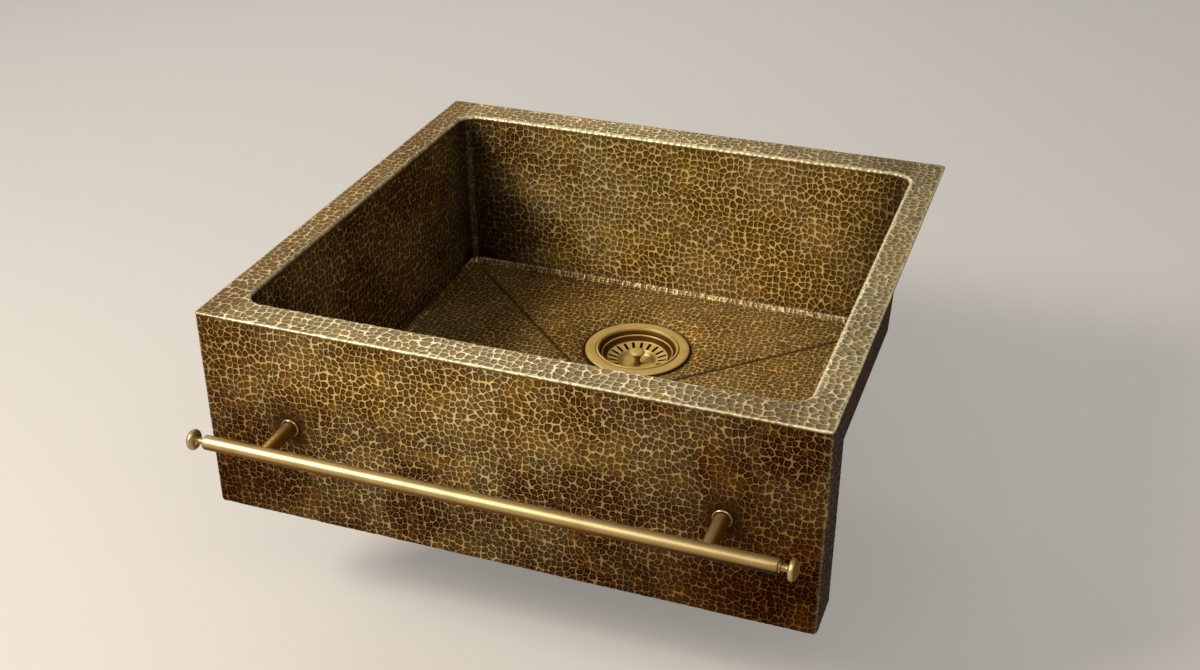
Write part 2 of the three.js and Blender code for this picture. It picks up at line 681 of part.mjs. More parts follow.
// The slotted cup: a rolled rim, a sloping side, a ring of radial slots and a smooth well.
function basketCup() {
  const rimZ = -LEDGE_DEPTH + SEAM + BASKET_ROLL_RADIUS;
  const rimCentre = BASKET_RIM_RADIUS - BASKET_ROLL_RADIUS;
  const upper = [
    [STEM_BORE_RADIUS, -BASKET_FLOOR_DEPTH],
    ...wellProfile(),
    [BASKET_SHOULDER_RADIUS, -BASKET_SHOULDER_DEPTH],
    [rimCentre, rimZ + BASKET_SHEET / 2],
  ];
  const lower = upper.map(([radius, z]) => [radius, z - BASKET_SHEET]);
  const shell = turned([...lower, ...upper.slice().reverse()]);
  const roll = turned(wireRing(rimCentre, BASKET_ROLL_RADIUS, rimZ));
  const halfWidth = SLOT_WIDTH / 2;
  const slotFoot = -BASKET_WELL_DEPTH - 2 * BASKET_SHEET;
  const slots = around(SLOT_COUNT, 0.5 / SLOT_COUNT, () => {
    return box(SLOT_INNER_RADIUS, SLOT_OUTER_RADIUS, -halfWidth, halfWidth, slotFoot, 0);
  });
  return cut(join(shell, roll), ...slots);
}

// The stem: two turned rings under the knob, a shoulder on the basket's floor, a threaded
// length down through the stopper, and a grooved tip inside the guide.
function basketStem() {
  const shoulder = -BASKET_FLOOR_DEPTH + SEAM;
  const top = -KNOB_DEPTH - KNOB_HEIGHT - SEAM;
  const pegTop = top + KNOB_HEIGHT / 2;
  const grooveMiddle = (GUIDE_TOP + GUIDE_FOOT) / 2;
  const grooveRadius = GRIP_RING_CENTRE - GRIP_RING_RADIUS - SEAM;
  const grooveHalf = GRIP_RING_RADIUS + SEAM;
  const upperRing = top - STEM_RING_HEIGHT;
  return turned([
    [0, GUIDE_FOOT],
    [STEM_THREAD_RADIUS, GUIDE_FOOT],
    [STEM_THREAD_RADIUS, grooveMiddle - grooveHalf],
    [grooveRadius, grooveMiddle - grooveHalf],
    [grooveRadius, grooveMiddle + grooveHalf],
    [STEM_THREAD_RADIUS, grooveMiddle + grooveHalf],
    [STEM_THREAD_RADIUS, shoulder],
    [STEM_RING_RADIUS, shoulder],
    [STEM_RING_RADIUS, shoulder + STEM_RING_HEIGHT],
    [STEM_RADIUS, shoulder + STEM_RING_HEIGHT],
    [STEM_RADIUS, upperRing - STEM_RING_HEIGHT],
    [STEM_RING_RADIUS, upperRing - STEM_RING_HEIGHT],
    [STEM_RING_RADIUS, upperRing],
    [STEM_RADIUS, upperRing],
    [STEM_RADIUS, top],
    [STEM_THREAD_RADIUS, top],
    [STEM_THREAD_RADIUS, pegTop],
    [0, pegTop],
  ], SMALL_ROUND_STEPS);
}

// The mushroom knob, bored from below for the stem's peg.
function basketKnob() {
  const crown = -KNOB_DEPTH;
  const foot = crown - KNOB_HEIGHT;
  const boreTop = foot + KNOB_HEIGHT / 2;
  const brim = foot + KNOB_HEIGHT / 3;
  const underside = brim - KNOB_HEIGHT / 6;
  const dome = quarter(1).map(([across, up]) => [KNOB_RADIUS * across, brim + (crown - brim) * up]);
  return turned([
    [0, boreTop],
    [STEM_BORE_RADIUS, boreTop],
    [STEM_BORE_RADIUS, foot],
    [STEM_RING_RADIUS, foot],
    [(STEM_RING_RADIUS + 2 * KNOB_RADIUS) / 3, underside],
    ...dome,
  ], SMALL_ROUND_STEPS);
}

// The rubber stopper, whose cone matches the seat in the cup's foot.
function stopper() {
  return turned([
    [STEM_BORE_RADIUS, STOPPER_FOOT],
    [STOPPER_FOOT_RADIUS, STOPPER_FOOT],
    [STOPPER_RADIUS, STOPPER_EDGE],
    [STOPPER_RADIUS, STOPPER_TOP],
    [STEM_BORE_RADIUS, STOPPER_TOP],
  ]);
}

function basketSet() {
  const sleeveTop = -BASKET_FLOOR_DEPTH - BASKET_SHEET - SEAM;
  const sleeveRadius = STEM_BORE_RADIUS + SLEEVE_WALL;
  const sleeve = ring(STEM_BORE_RADIUS, sleeveRadius, STOPPER_TOP + SEAM, sleeveTop, SMALL_ROUND_STEPS);
  const backing = ring(STEM_BORE_RADIUS, BACKING_WASHER_RADIUS, BACKING_FOOT, STOPPER_FOOT - SEAM);
  const nut = hexRing(STEM_BORE_RADIUS, STOPPER_NUT_RADIUS, STOPPER_NUT_FOOT, BACKING_FOOT - SEAM);
  const gripRing = wireRing(GRIP_RING_CENTRE, GRIP_RING_RADIUS, (GUIDE_TOP + GUIDE_FOOT) / 2);
  return [
    named("basket_cup", basketCup(), satinBrass),
    named("basket_stem", basketStem(), satinBrass),
    named("basket_knob", basketKnob(), satinBrass),
    named("stopper_sleeve", sleeve, nylon),
    named("rubber_stopper", stopper(), rubber),
    named("stopper_backing_washer", backing, steel),
    named("stopper_nut", nut, steel),
    named("stem_grip_ring", turned(gripRing, SMALL_ROUND_STEPS), rubber),
  ];
}

function waste() {
  const assembly = new THREE.Group();
  assembly.add(named("strainer_body", strainerBody(), satinBrass));
  assembly.add(named("strainer_spigot", strainerSpigot(), satinBrass));
  assembly.add(named("stem_guide", stemGuide(), satinBrass));
  assembly.add(...sealsAndLocknut(), ...tailpieceSet(), ...basketSet());
  assembly.position.set(0, DRAIN_Y, FLANGE_Z);
  return assembly;
}

// ---------------------------------------------------------------------------
// Towel rail. Y is measured from the apron's face and Z from the bar's axis.
// ---------------------------------------------------------------------------

// The bar: a tube with chamfered ends, cross-bored from behind for the two studs.
function railBar() {
  const half = RAIL_LENGTH / 2;
  const tube = turned([
    [RAIL_BORE_RADIUS, -half],
    [RAIL_RADIUS - RAIL_CHAMFER, -half],
    [RAIL_RADIUS, -half + RAIL_CHAMFER],
    [RAIL_RADIUS, half - RAIL_CHAMFER],
    [RAIL_RADIUS - RAIL_CHAMFER, half],
    [RAIL_BORE_RADIUS, half],
  ]);
  const holes = Object.values(POST_PLACES).map((x) => {
    return moved(alongY(rod(STUD_RADIUS + SEAM, 0, 2 * RAIL_RADIUS)), x, 0, 0);
  });
  return moved(cut(alongX(tube), ...holes), 0, -RAIL_STANDOFF, 0);
}

// A hollow post, hollowed at its front end to sit against the bar.
function railPost(x) {
  const rear = -SEAM - COLLAR_THICKNESS - SEAM;
  const sleeve = alongY(ring(STUD_RADIUS + SEAM, POST_RADIUS, -RAIL_STANDOFF, rear, SMALL_ROUND_STEPS));
  const saddle = alongX(rod(RAIL_RADIUS + SEAM, -2 * POST_RADIUS, 2 * POST_RADIUS, ROUND_STEPS));
  return moved(cut(sleeve, moved(saddle, 0, -RAIL_STANDOFF, 0)), x, 0, 0);
}

// The thin ring between a post and the apron, with its front edge eased.
function postCollar(x) {
  const bore = STUD_RADIUS + SEAM;
  const front = -SEAM - COLLAR_THICKNESS;
  const ease = COLLAR_THICKNESS / 3;
  const collar = turned([
    [bore, front],
    [COLLAR_RADIUS - ease, front],
    [COLLAR_RADIUS, front + ease],
    [COLLAR_RADIUS, -SEAM],
    [bore, -SEAM],
  ], SMALL_ROUND_STEPS);
  return moved(alongY(collar), x, 0, 0);
}

// An end finial: a spigot inside the bar, a shoulder, a neck and a thick round-edged disc.
function finial() {
  const shoulder = SEAM + FINIAL_SHOULDER_LENGTH;
  const discInner = SEAM + FINIAL_NECK_LENGTH;
  const edgeRadius = FINIAL_DISC_THICKNESS / 2;
  const edgeCentre = FINIAL_DISC_RADIUS - edgeRadius;
  const edge = Array.from({ length: 2 * FILLET_STEPS + 1 }, (_, step) => {
    const angle = (step / (2 * FILLET_STEPS) - 0.5) * Math.PI;
    return [edgeCentre + edgeRadius * Math.cos(angle), discInner + edgeRadius * (1 + Math.sin(angle))];
  });
  return turned([
    [0, -FINIAL_SPIGOT_LENGTH],
    [RAIL_BORE_RADIUS - SEAM, -FINIAL_SPIGOT_LENGTH],
    [RAIL_BORE_RADIUS - SEAM, SEAM],
    [FINIAL_SHOULDER_RADIUS, SEAM],
    [FINIAL_SHOULDER_RADIUS, shoulder],
    [FINIAL_NECK_RADIUS, shoulder],
    [FINIAL_NECK_RADIUS, discInner],
    ...edge,
    [0, discInner + FINIAL_DISC_THICKNESS + edgeRadius / 3],
  ], SMALL_ROUND_STEPS);
}

// What clamps a post: the stud from inside the bar, the doubler, the washer and the nut.
function postFixings(side, x) {
  const doublerFront = SHEET + SEAM;
  const doublerRear = doublerFront + DOUBLER_THICKNESS;
  const washerFront = doublerRear + SEAM;
  const washerRear = washerFront + WASHER_THICKNESS;
  const nutFront = washerRear + SEAM;
  const half = DOUBLER_SIZE / 2;
  const studFront = -RAIL_STANDOFF - RAIL_BORE_RADIUS / 2;
  const threadBore = STUD_RADIUS + SEAM;
  const doubler = cut(
    box(-half, half, doublerFront, doublerRear, -half, half),
    alongY(rod(STUD_BORE_RADIUS, 0, doublerRear + SHEET)),
  );
  const stud = alongY(rod(STUD_RADIUS, studFront, nutFront + NUT_HEIGHT + STUD_TAIL));
  const washer = alongY(ring(threadBore, WASHER_RADIUS, washerFront, washerRear, SMALL_ROUND_STEPS));
  const nut = alongY(hexRing(threadBore, NUT_RADIUS, nutFront, nutFront + NUT_HEIGHT));
  return [
    named("post_stud_" + side, moved(stud, x, 0, 0), steel),
    named("post_doubler_" + side, moved(doubler, x, 0, 0), rawBrass),
    named("post_washer_" + side, moved(washer, x, 0, 0), steel),
    named("post_nut_" + side, moved(nut, x, 0, 0), steel),
  ];
}

function towelRail() {
  const rail = new THREE.Group();
  rail.add(named("rail_bar", railBar(), satinBrass));
  for (const [side, x] of Object.entries(POST_PLACES)) {
    rail.add(
      named("rail_post_" + side, railPost(x), satinBrass),
      named("post_collar_" + side, postCollar(x), satinBrass),
      ...postFixings(side, x),
    );
  }
  const right = moved(alongX(finial()), RAIL_LENGTH / 2, -RAIL_STANDOFF, 0);
  const left = moved(alongX(finial()).rotateZ(Math.PI), -RAIL_LENGTH / 2, -RAIL_STANDOFF, 0);
  rail.add(named("rail_finial_left", left, satinBrass), named("rail_finial_right", right, satinBrass));
  rail.position.z = -RAIL_DROP;
  return rail;
}

const sink = new THREE.Group();
sink.add(sheetMetalBody(), waste(), towelRail());
sink.position.y = REAR_DECK / 2 - BODY_DEPTH;

export default sink;
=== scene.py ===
"""Looks of an apron-front kitchen sink: hammered aged brass, a basket strainer and a towel rail.

Metres, +X to the right, +Y towards the wall, +Z up, origin on top of the rear deck.
The sheet metal body and the turned brass pieces are rebuilt here with their hammer marks, eased edges,
finish, painted shade and painted highlights. Hidden fittings keep their own solids and get a finish.
"""

import json
import math

import bmesh
import bpy
import numpy as np
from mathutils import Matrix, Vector


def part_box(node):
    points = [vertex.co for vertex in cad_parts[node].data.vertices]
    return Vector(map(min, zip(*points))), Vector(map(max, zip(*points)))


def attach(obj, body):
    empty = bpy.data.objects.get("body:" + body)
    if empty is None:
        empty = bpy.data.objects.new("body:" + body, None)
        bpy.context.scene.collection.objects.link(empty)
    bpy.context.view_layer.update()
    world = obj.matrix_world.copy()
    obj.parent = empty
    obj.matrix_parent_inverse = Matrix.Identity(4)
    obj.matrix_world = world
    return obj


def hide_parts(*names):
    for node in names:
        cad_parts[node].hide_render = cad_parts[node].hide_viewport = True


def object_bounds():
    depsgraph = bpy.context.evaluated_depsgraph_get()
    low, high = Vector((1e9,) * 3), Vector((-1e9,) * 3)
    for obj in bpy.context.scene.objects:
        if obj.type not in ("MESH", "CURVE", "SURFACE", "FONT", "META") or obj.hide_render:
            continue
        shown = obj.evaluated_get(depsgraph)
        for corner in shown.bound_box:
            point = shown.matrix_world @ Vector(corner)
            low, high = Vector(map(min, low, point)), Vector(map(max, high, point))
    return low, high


MM = 0.001

# Sheet metal body
SHEET = 2 * MM
DECK_THICKNESS = 2.5 * MM
DECK_EDGE_RADIUS = 1.2 * MM
BODY_CORNER_RADIUS = 4 * MM
OPENING_CORNER_RADIUS = 20 * MM
LIP_RADIUS = 4 * MM
COLLAR_DEPTH = 12 * MM
WALL_DRAFT = 8 * MM
FLOOR_RADIUS = 6 * MM
FLOOR_FALL = 4 * MM
APRON_FOOT_DEPTH = 26 * MM
APRON_FOOT_RADIUS = 3 * MM
DISH_RADIUS = 61 * MM
DISH_RIM_WIDTH = 24 * MM
DRAIN_HOLE_RADIUS = 45 * MM
CREASE_WIDTH = 2.2 * MM
CREASE_DEPTH = 0.9 * MM
DISH_EASE = 0.8 * MM  # rounding between the floor's flats and the dish
LEAST_RADIUS = 0.2 * MM  # of a corner whose own radius an inset has used up
SEAM_LINE = 1.1 * MM  # half width of the painted highlight where the walls meet the floor
REAR_STRIP = 60 * MM  # of the bowl, where that painted highlight shows
FOLD_LINE = 1 * MM  # half width of the line down each upright corner of the walls
CORNER_LINE = 0.9 * MM  # half width of the lines down the apron's upright corners

# Meshes of the sheet
MESH_STEP = 1.6 * MM
CORNER_COLUMNS = 16  # round a corner of the opening
DECK_ROWS = 20
UNDERSIDE_ROWS = 16  # from the floor's edge in to the drain hole
EDGE_STEPS = 3  # round the deck's outer edge
LIP_STEPS = 5  # round the lip, and the floor's turned edge
BEND_STEPS = 4  # round the folds of the apron, and outside the floor's edge

# Hammer marks
DECK_MARK = 7.6 * MM  # from the middle of one mark to the next
WALL_MARK = 7.2 * MM
FLOOR_MARK = 6.2 * MM
APRON_MARK = 6.3 * MM
REVERSED_RELIEF = -0.8  # of the marks as they show on the outside of the bowl
MARK_DEPTH = 0.45 * MM
MARK_EDGE = 0.42  # share of a mark's size over which its side rises to the ridge
MARK_SPREAD = 0.7  # how far the marks stray from an even grid
MARK_ROUNDING = 0.6  # how much the ridges thicken where three marks meet
MARK_CORNER = 0.48  # distance from a mark's middle past which they thicken
MARK_SWAY = 0.5  # how much the ridges bend, in marks for a full swing of the noise
WAVE_DEPTH = 0.3 * MM
WAVE_SIZE = 8  # marks
PLAIN_EDGE = 1.6 * MM  # strip beside a seam where the marks fade out
BEAD_PITCH = 4.2 * MM  # of the small marks left by dressing a seam
DECK_RUBBING = 0.6  # how far wiping has bared the hollows of the deck
HIDDEN_GRIME = 0.4  # darkening on the back of the apron and on its foot
# Besides the sheet's own patina and wear, these shares carry painted shade in corners, creases, recesses and
# on shaded sides, and painted highlights and painted light along edges, seams and lit ridges
SHARES = ("relief", "polish", "grime", "patina", "rubbing", "gilding")  # what the mesh holds, mostly 0 to 1

# Turned pieces
TURN_STEPS = 128
RING_STEPS = 96
SMALL_TURN_STEPS = 64
LACQUER = 0.2  # share of the turned brass that its clear lacquer covers
BEAD_RISE = 3 * MM  # from the flange's underside to the top of its bead
SLOT_COUNT = 20
SLOT_WIDTH = 2.6 * MM
SLOT_INNER = 23.4 * MM  # radius at the slots' inner ends
SLOT_OUTER = 33.3 * MM
SLOT_SHADE = 0.8 * MM  # dark strip beside a slot
SLOT_GAP_STEPS = 4  # between the strips of one slot and the next
BASKET_STEP = 0.7 * MM
BASKET_SHEET = 0.9 * MM
BORE_RADIUS = 3.2 * MM  # of the posts and their collars, for the stud
POST_RADIUS = 6.8 * MM
BAR_BORE_RADIUS = 5 * MM
EASED_EDGE = 0.25 * MM  # of the fittings that keep their own solids

# Stage
STAGE_HALF = 6.0
STAGE_DROP = 2 * MM  # below the part's lowest point
FLOOR_GLOW = 0.4  # share of the seen floor that keeps its pale colour without light

# Camera
CAMERA_PLACE = (0.4694, -1.5835, 0.6689)
CAMERA_PITCH = 29.45
CAMERA_YAW = 19.87
CAMERA_LENS = 45.79
CAMERA_SENSOR = 36

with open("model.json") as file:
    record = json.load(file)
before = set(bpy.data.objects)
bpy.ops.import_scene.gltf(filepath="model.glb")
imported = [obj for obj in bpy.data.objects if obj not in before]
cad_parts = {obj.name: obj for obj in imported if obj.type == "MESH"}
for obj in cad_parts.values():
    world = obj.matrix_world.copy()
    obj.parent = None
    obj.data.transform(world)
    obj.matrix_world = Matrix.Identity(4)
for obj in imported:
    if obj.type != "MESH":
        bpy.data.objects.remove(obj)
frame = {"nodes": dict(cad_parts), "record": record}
cad_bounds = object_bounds()


# ---------------------------------------------------------------------------
# Places taken from the frame
# ---------------------------------------------------------------------------

DECK_LOW, DECK_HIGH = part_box("deck_rim")
WALLS_LOW, WALLS_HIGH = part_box("bowl_walls")
FLOOR_LOW, FLOOR_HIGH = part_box("bowl_floor")
FACE_LOW, FACE_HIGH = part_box("apron_face")
SIDE_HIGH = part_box("apron_side_right")[1]
APRON_LOW, APRON_HIGH = FACE_LOW, Vector((FACE_HIGH.x, SIDE_HIGH.y, FACE_HIGH.z))
STRAINER_LOW, STRAINER_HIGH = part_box("strainer_body")
BAR_LOW, BAR_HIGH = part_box("rail_bar")

OPENING_LOW = WALLS_LOW + Vector((SHEET, SHEET, 0))
OPENING_HIGH = WALLS_HIGH - Vector((SHEET, SHEET, 0))
OPENING_CENTRE = (OPENING_LOW + OPENING_HIGH) / 2
WALL_FOOT = FLOOR_HIGH.z
BOWL_FLOOR = WALL_FOOT - FLOOR_RADIUS
DISH_FLOOR = FLOOR_LOW.z + SHEET
FLANGE_RADIUS = (STRAINER_HIGH.x - STRAINER_LOW.x) / 2
DRAIN = Vector(((STRAINER_LOW.x + STRAINER_HIGH.x) / 2, (STRAINER_LOW.y + STRAINER_HIGH.y) / 2, 0))
WASTE_PLACE = (DRAIN.x, DRAIN.y, STRAINER_HIGH.z - BEAD_RISE)
BAR_AXIS = (BAR_LOW + BAR_HIGH) / 2
BAR_RADIUS = (BAR_HIGH.z - BAR_LOW.z) / 2
BAR_HALF = (BAR_HIGH.x - BAR_LOW.x) / 2
POST_MIDDLES = {
    side: (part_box("rail_post_" + side)[0].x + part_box("rail_post_" + side)[1].x) / 2
    for side in ("left", "right")
}


# ---------------------------------------------------------------------------
# Colours and shader nodes
# ---------------------------------------------------------------------------

def linear(hex_colour):
    """An sRGB hex colour as linear red, green, blue and alpha."""
    shares = [int(hex_colour[i:i + 2], 16) / 255 for i in (1, 3, 5)]
    return tuple(c / 12.92 if c <= 0.04045 else ((c + 0.055) / 1.055) ** 2.4 for c in shares) + (1.0,)


def add_node(tree, kind, inputs=None, **settings):
    """Adds a node. Each input is a socket to link or a plain value."""
    node = tree.nodes.new(kind)
    for name, value in settings.items():
        setattr(node, name, value)
    for name, value in (inputs or {}).items():
        if isinstance(value, bpy.types.NodeSocket):
            tree.links.new(value, node.inputs[name])
        else:
            node.inputs[name].default_value = value
    return node


def start_material(name):
    """An empty material with its output node."""
    material = bpy.data.materials.new(name)
    material.use_nodes = True
    tree = material.node_tree
    tree.nodes.clear()
    return material, tree, add_node(tree, "ShaderNodeOutputMaterial")


def finish_material(material, tree, output, height, strength, distance, inputs):
    """Ends a material: its surface, with a height pressed into it as a bump."""
    bump = add_node(tree, "ShaderNodeBump", {"Height": height, "Strength": strength, "Distance": distance})
    inputs["Normal"] = bump.outputs["Normal"]
    surface = add_node(tree, "ShaderNodeBsdfPrincipled", inputs)
    tree.links.new(surface.outputs[0], output.inputs["Surface"])
    return material


def mask(tree, value, start, end, low=0.0, high=1.0):
    """A smooth step of a value from one level to another."""
    made = add_node(tree, "ShaderNodeMapRange", {
        "Value": value, "From Min": start, "From Max": end, "To Min": low, "To Max": high,
    }, interpolation_type="SMOOTHSTEP")
    return made.outputs["Result"]


def blended(tree, share, first, second, how="MIX"):
    """Two colours mixed by a share."""
    made = add_node(tree, "ShaderNodeMix", data_type="RGBA", blend_type=how)
    for socket, value in ((made.inputs[0], share), (made.inputs[6], first), (made.inputs[7], second)):
        if isinstance(value, bpy.types.NodeSocket):
            tree.links.new(value, socket)
        else:
            socket.default_value = value
    return made.outputs[2]


def layered(tree, colour, layers):
    """A colour with others laid over it in turn, each by its own share."""
    for share, tint in layers:
        colour = blended(tree, share, colour, linear(tint))
    return colour


def computed(tree, operation, first, second=0.0):
    """One step of arithmetic on two numbers."""
    return add_node(tree, "ShaderNodeMath", {0: first, 1: second}, operation=operation).outputs[0]


def product(tree, first, second):
    return computed(tree, "MULTIPLY", first, second)


def vector_step(tree, operation, inputs):
    """One step of arithmetic on vectors."""
    return add_node(tree, "ShaderNodeVectorMath", inputs, operation=operation).outputs


def attribute(tree, name):
    """A value that the mesh holds at each point."""
    return add_node(tree, "ShaderNodeAttribute", attribute_name=name).outputs


def cloud(tree, vector, size, detail=3.0):
    """Soft noise from 0 to 1 whose patches are about size apart, in the vector's own unit."""
    inputs = {"Vector": vector, "Scale": 1.0 / size, "Detail": detail}
    return add_node(tree, "ShaderNodeTexNoise", inputs).outputs[0]


def hammer_marks(tree, pattern):
    """Distance in from the ridges round a hammer mark, as a share of its size, and its own number."""
    swing = {"Vector": pattern, "Scale": 1.6, "Detail": 1.0}
    sway = add_node(tree, "ShaderNodeTexNoise", swing).outputs["Color"]
    sway = vector_step(tree, "SUBTRACT", {0: sway, 1: (0.5, 0.5, 0.5)})[0]
    sway = vector_step(tree, "SCALE", {0: sway, "Scale": MARK_SWAY})[0]
    swayed = vector_step(tree, "ADD", {0: pattern, 1: sway})[0]
    inputs = {"Vector": swayed, "Scale": 1.0, "Randomness": MARK_SPREAD}
    border, mark = (
        add_node(tree, "ShaderNodeTexVoronoi", inputs, voronoi_dimensions="2D", feature=feature).outputs
        for feature in ("DISTANCE_TO_EDGE", "F1")
    )
    corner = computed(tree, "MAXIMUM", computed(tree, "SUBTRACT", mark["Distance"], MARK_CORNER))
    inward = computed(tree, "SUBTRACT", border["Distance"], product(tree, corner, MARK_ROUNDING))
    number = vector_step(tree, "DOT_PRODUCT", {0: mark["Position"], 1: (2.31, 3.97, 0.0)})["Value"]
    return inward, computed(tree, "FRACT", number)


# ---------------------------------------------------------------------------
# Materials
# ---------------------------------------------------------------------------

def hammered_aged_brass():
    """Brass sheet, hammered by hand and darkened: brown hollows, ridges rubbed back to gold, with painted
    shade and painted highlights over them.
    """
    material, tree, output = start_material("hammered_aged_brass")
    pattern = attribute(tree, "pattern")["Vector"]
    relief, polish, grime, patina, rubbing, gilding = (attribute(tree, name)["Fac"] for name in SHARES)
    inward, number = hammer_marks(tree, pattern)

    # Patches of wear, whose sizes are counted in marks
    rubbed = mask(tree, cloud(tree, pattern, 15.0, 2.0), 0.42, 0.62)
    # Rubbing, and painted light on the floor's right, bare the hollows paler
    bared = computed(tree, "ADD", product(tree, rubbed, 0.25), rubbing)
    worn = mask(tree, cloud(tree, pattern, 4.5), 0.60, 0.76)
    washed = mask(tree, cloud(tree, pattern, 7.0), 0.50, 0.72, 0.0, 0.3)
    # Painted light also washes the hollows paler
    washed = computed(tree, "ADD", washed, product(tree, gilding, 0.2))
    smeared = product(tree, mask(tree, cloud(tree, pattern, 2.6), 0.54, 0.74, 0.0, 0.4), relief)
    fine = cloud(tree, pattern, 0.16, 4.0)

    # Ridges, the dark ring inside each one, and the ridges that show as grooves outside the bowl
    kept = product(tree, relief, computed(tree, "SUBTRACT", 1.0, product(tree, worn, 0.65)))
    kept = product(tree, kept, mask(tree, cloud(tree, pattern, 1.2, 2.0), 0.36, 0.58, 0.45, 1.0))
    # Painted light widens the bright ridges
    ridge_width = computed(tree, "ADD", product(tree, gilding, 0.04), 0.085)
    ridge = product(tree, mask(tree, inward, 0.005, ridge_width, 1.0, 0.0), kept)
    ring = product(tree, mask(tree, inward, 0.20, 0.48, 0.95, 0.0), relief)
    outside = computed(tree, "MAXIMUM", product(tree, relief, -1.0))
    groove = product(tree, mask(tree, inward, 0.0, 0.16, 0.7, 0.0), outside)

    hollow = blended(tree, number, linear("#573b0c"), linear("#7f5d20"))
    hollow = layered(tree, hollow, [
        (ring, "#261403"), (bared, "#988a68"), (product(tree, worn, 0.4), "#3e2a1a"), (washed, "#a47a22"),
    ])
    plain = blended(tree, rubbed, linear("#553b1b"), linear("#67491f"))
    hollow = blended(tree, relief, plain, hollow)
    crest = blended(tree, rubbed, linear("#c0a06c"), linear("#dfc886"))
    # Ridges turn paler gold where painted light falls, and paler still where rubbed
    crest = layered(tree, crest, [(gilding, "#e9d087"), (rubbing, "#dfd6b6")])
    colour = blended(tree, ridge, hollow, crest)
    flecks = mask(tree, fine, 0.48, 0.8, 0.0, 0.18)
    colour = layered(tree, colour, [(smeared, "#a67c36"), (groove, "#2c1b0b"), (flecks, "#5e4020")])
    # Patina and painted shade darken the colour as a whole
    colour = blended(tree, patina, colour, linear("#8e6b42"), "MULTIPLY")
    # Painted shade in corners, creases and recesses, and painted highlights along edges and seams
    colour = layered(tree, colour, [(grime, "#1d1208"), (polish, "#e6deb2")])

    bare = computed(tree, "MAXIMUM", ridge, polish)
    # Less metallic under painted shade and on painted highlights
    metallic = product(tree, mask(tree, bare, 0.0, 1.0, 0.64, 0.55), mask(tree, grime, 0.0, 1.0, 1.0, 0.3))
    metallic = product(tree, metallic, mask(tree, polish, 0.0, 1.0, 1.0, 0.6))
    roughness = computed(tree, "ADD", mask(tree, fine, 0.3, 0.7, 0.42, 0.54), product(tree, bare, -0.16))
    height = product(tree, mask(tree, inward, 0.0, MARK_EDGE, 1.0, 0.0), relief)
    height = computed(tree, "ADD", height, product(tree, fine, 0.12))
    return finish_material(material, tree, output, height, 1.0, 0.3 * MM, {
        "Base Color": colour, "Metallic": metallic, "Roughness": roughness,
        "Specular IOR Level": 0.1, "Specular Tint": linear("#8a6a3c"),
    })


def satin_brass(name, colour, shade, roughness, metallic):
    """Turned brass rubbed with fine abrasive and lacquered: soft streaks, a warm body and a pale sheen."""
    material, tree, output = start_material(name)
    pattern = attribute(tree, "pattern")["Vector"]
    grime = attribute(tree, "grime")["Fac"]
    streaks = add_node(tree, "ShaderNodeMapping", {"Vector": pattern, "Scale": (0.05, 3.0, 1.0)}).outputs[0]
    brushed = cloud(tree, streaks, 1.0)
    patches = cloud(tree, pattern, 30.0, 2.0)
    # The grime and shade share lays painted shade over the body, first brown and then dark, and dulls the
    # metal and its lacquer there
    tone = layered(tree, linear(colour), [
        (mask(tree, patches, 0.4, 0.8, 0.0, 0.5), shade), (mask(tree, brushed, 0.4, 0.8, 0.0, 0.25), shade),
        (mask(tree, grime, 0.0, 0.6), "#80591f"), (mask(tree, grime, 0.5, 1.0), "#1c1004"),
    ])
    return finish_material(material, tree, output, brushed, 0.2, 0.05 * MM, {
        "Base Color": tone, "Metallic": mask(tree, grime, 0.0, 1.0, metallic, 0.35 * metallic),
        "Roughness": mask(tree, brushed, 0.2, 0.8, roughness - 0.02, roughness + 0.04),
        "Specular IOR Level": 0.15, "Specular Tint": linear("#b08c58"),
        "Coat Weight": mask(tree, grime, 0.0, 1.0, LACQUER, 0.0), "Coat Roughness": roughness,
    })


def plain_finish(name, colour, shade, metallic, roughness, grain):
    """A finish of the hidden fittings, with a fine grain whose size is given in millimetres."""
    material, tree, output = start_material(name)
    place = add_node(tree, "ShaderNodeTexCoord").outputs["Object"]
    grains = cloud(tree, place, grain * MM)
    return finish_material(material, tree, output, grains, 0.3, 0.1 * MM, {
        "Base Color": layered(tree, linear(colour), [(mask(tree, grains, 0.3, 0.7), shade)]),
        "Metallic": metallic,
        "Roughness": mask(tree, grains, 0.2, 0.8, roughness - 0.05, roughness + 0.05),
    })


# ---------------------------------------------------------------------------
# Mesh building
# ---------------------------------------------------------------------------

def add_piece(name, points, faces, material, body, attributes):
    """A mesh piece that rides on a body, with the surface values its material reads."""
    mesh = bpy.data.meshes.new(name)
    mesh.from_pydata([tuple(p) for p in points], [], faces)
    for key, values in attributes.items():
        values = np.asarray(values, np.float32)
        kind = "FLOAT_VECTOR" if values.ndim == 2 else "FLOAT"
        made = mesh.attributes.new(key, kind, "POINT")
        made.data.foreach_set("vector" if values.ndim == 2 else "value", values.ravel())
    mesh.polygons.foreach_set("use_smooth", [True] * len(mesh.polygons))
    mesh.materials.append(material)
    piece = bpy.data.objects.new(name, mesh)
    bpy.context.scene.collection.objects.link(piece)
    turn_faces_out(mesh)
    mesh.set_sharp_from_angle(angle=math.radians(38))
    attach(piece, body)
    return piece


def turn_faces_out(mesh, merging=0.0):
    """Makes all faces of a closed mesh face outwards, and merges points closer than a distance."""
    work = bmesh.new()
    work.from_mesh(mesh)
    if merging:
        bmesh.ops.remove_doubles(work, verts=work.verts, dist=merging)
    bmesh.ops.recalc_face_normals(work, faces=work.faces)
    work.to_mesh(mesh)
    work.free()


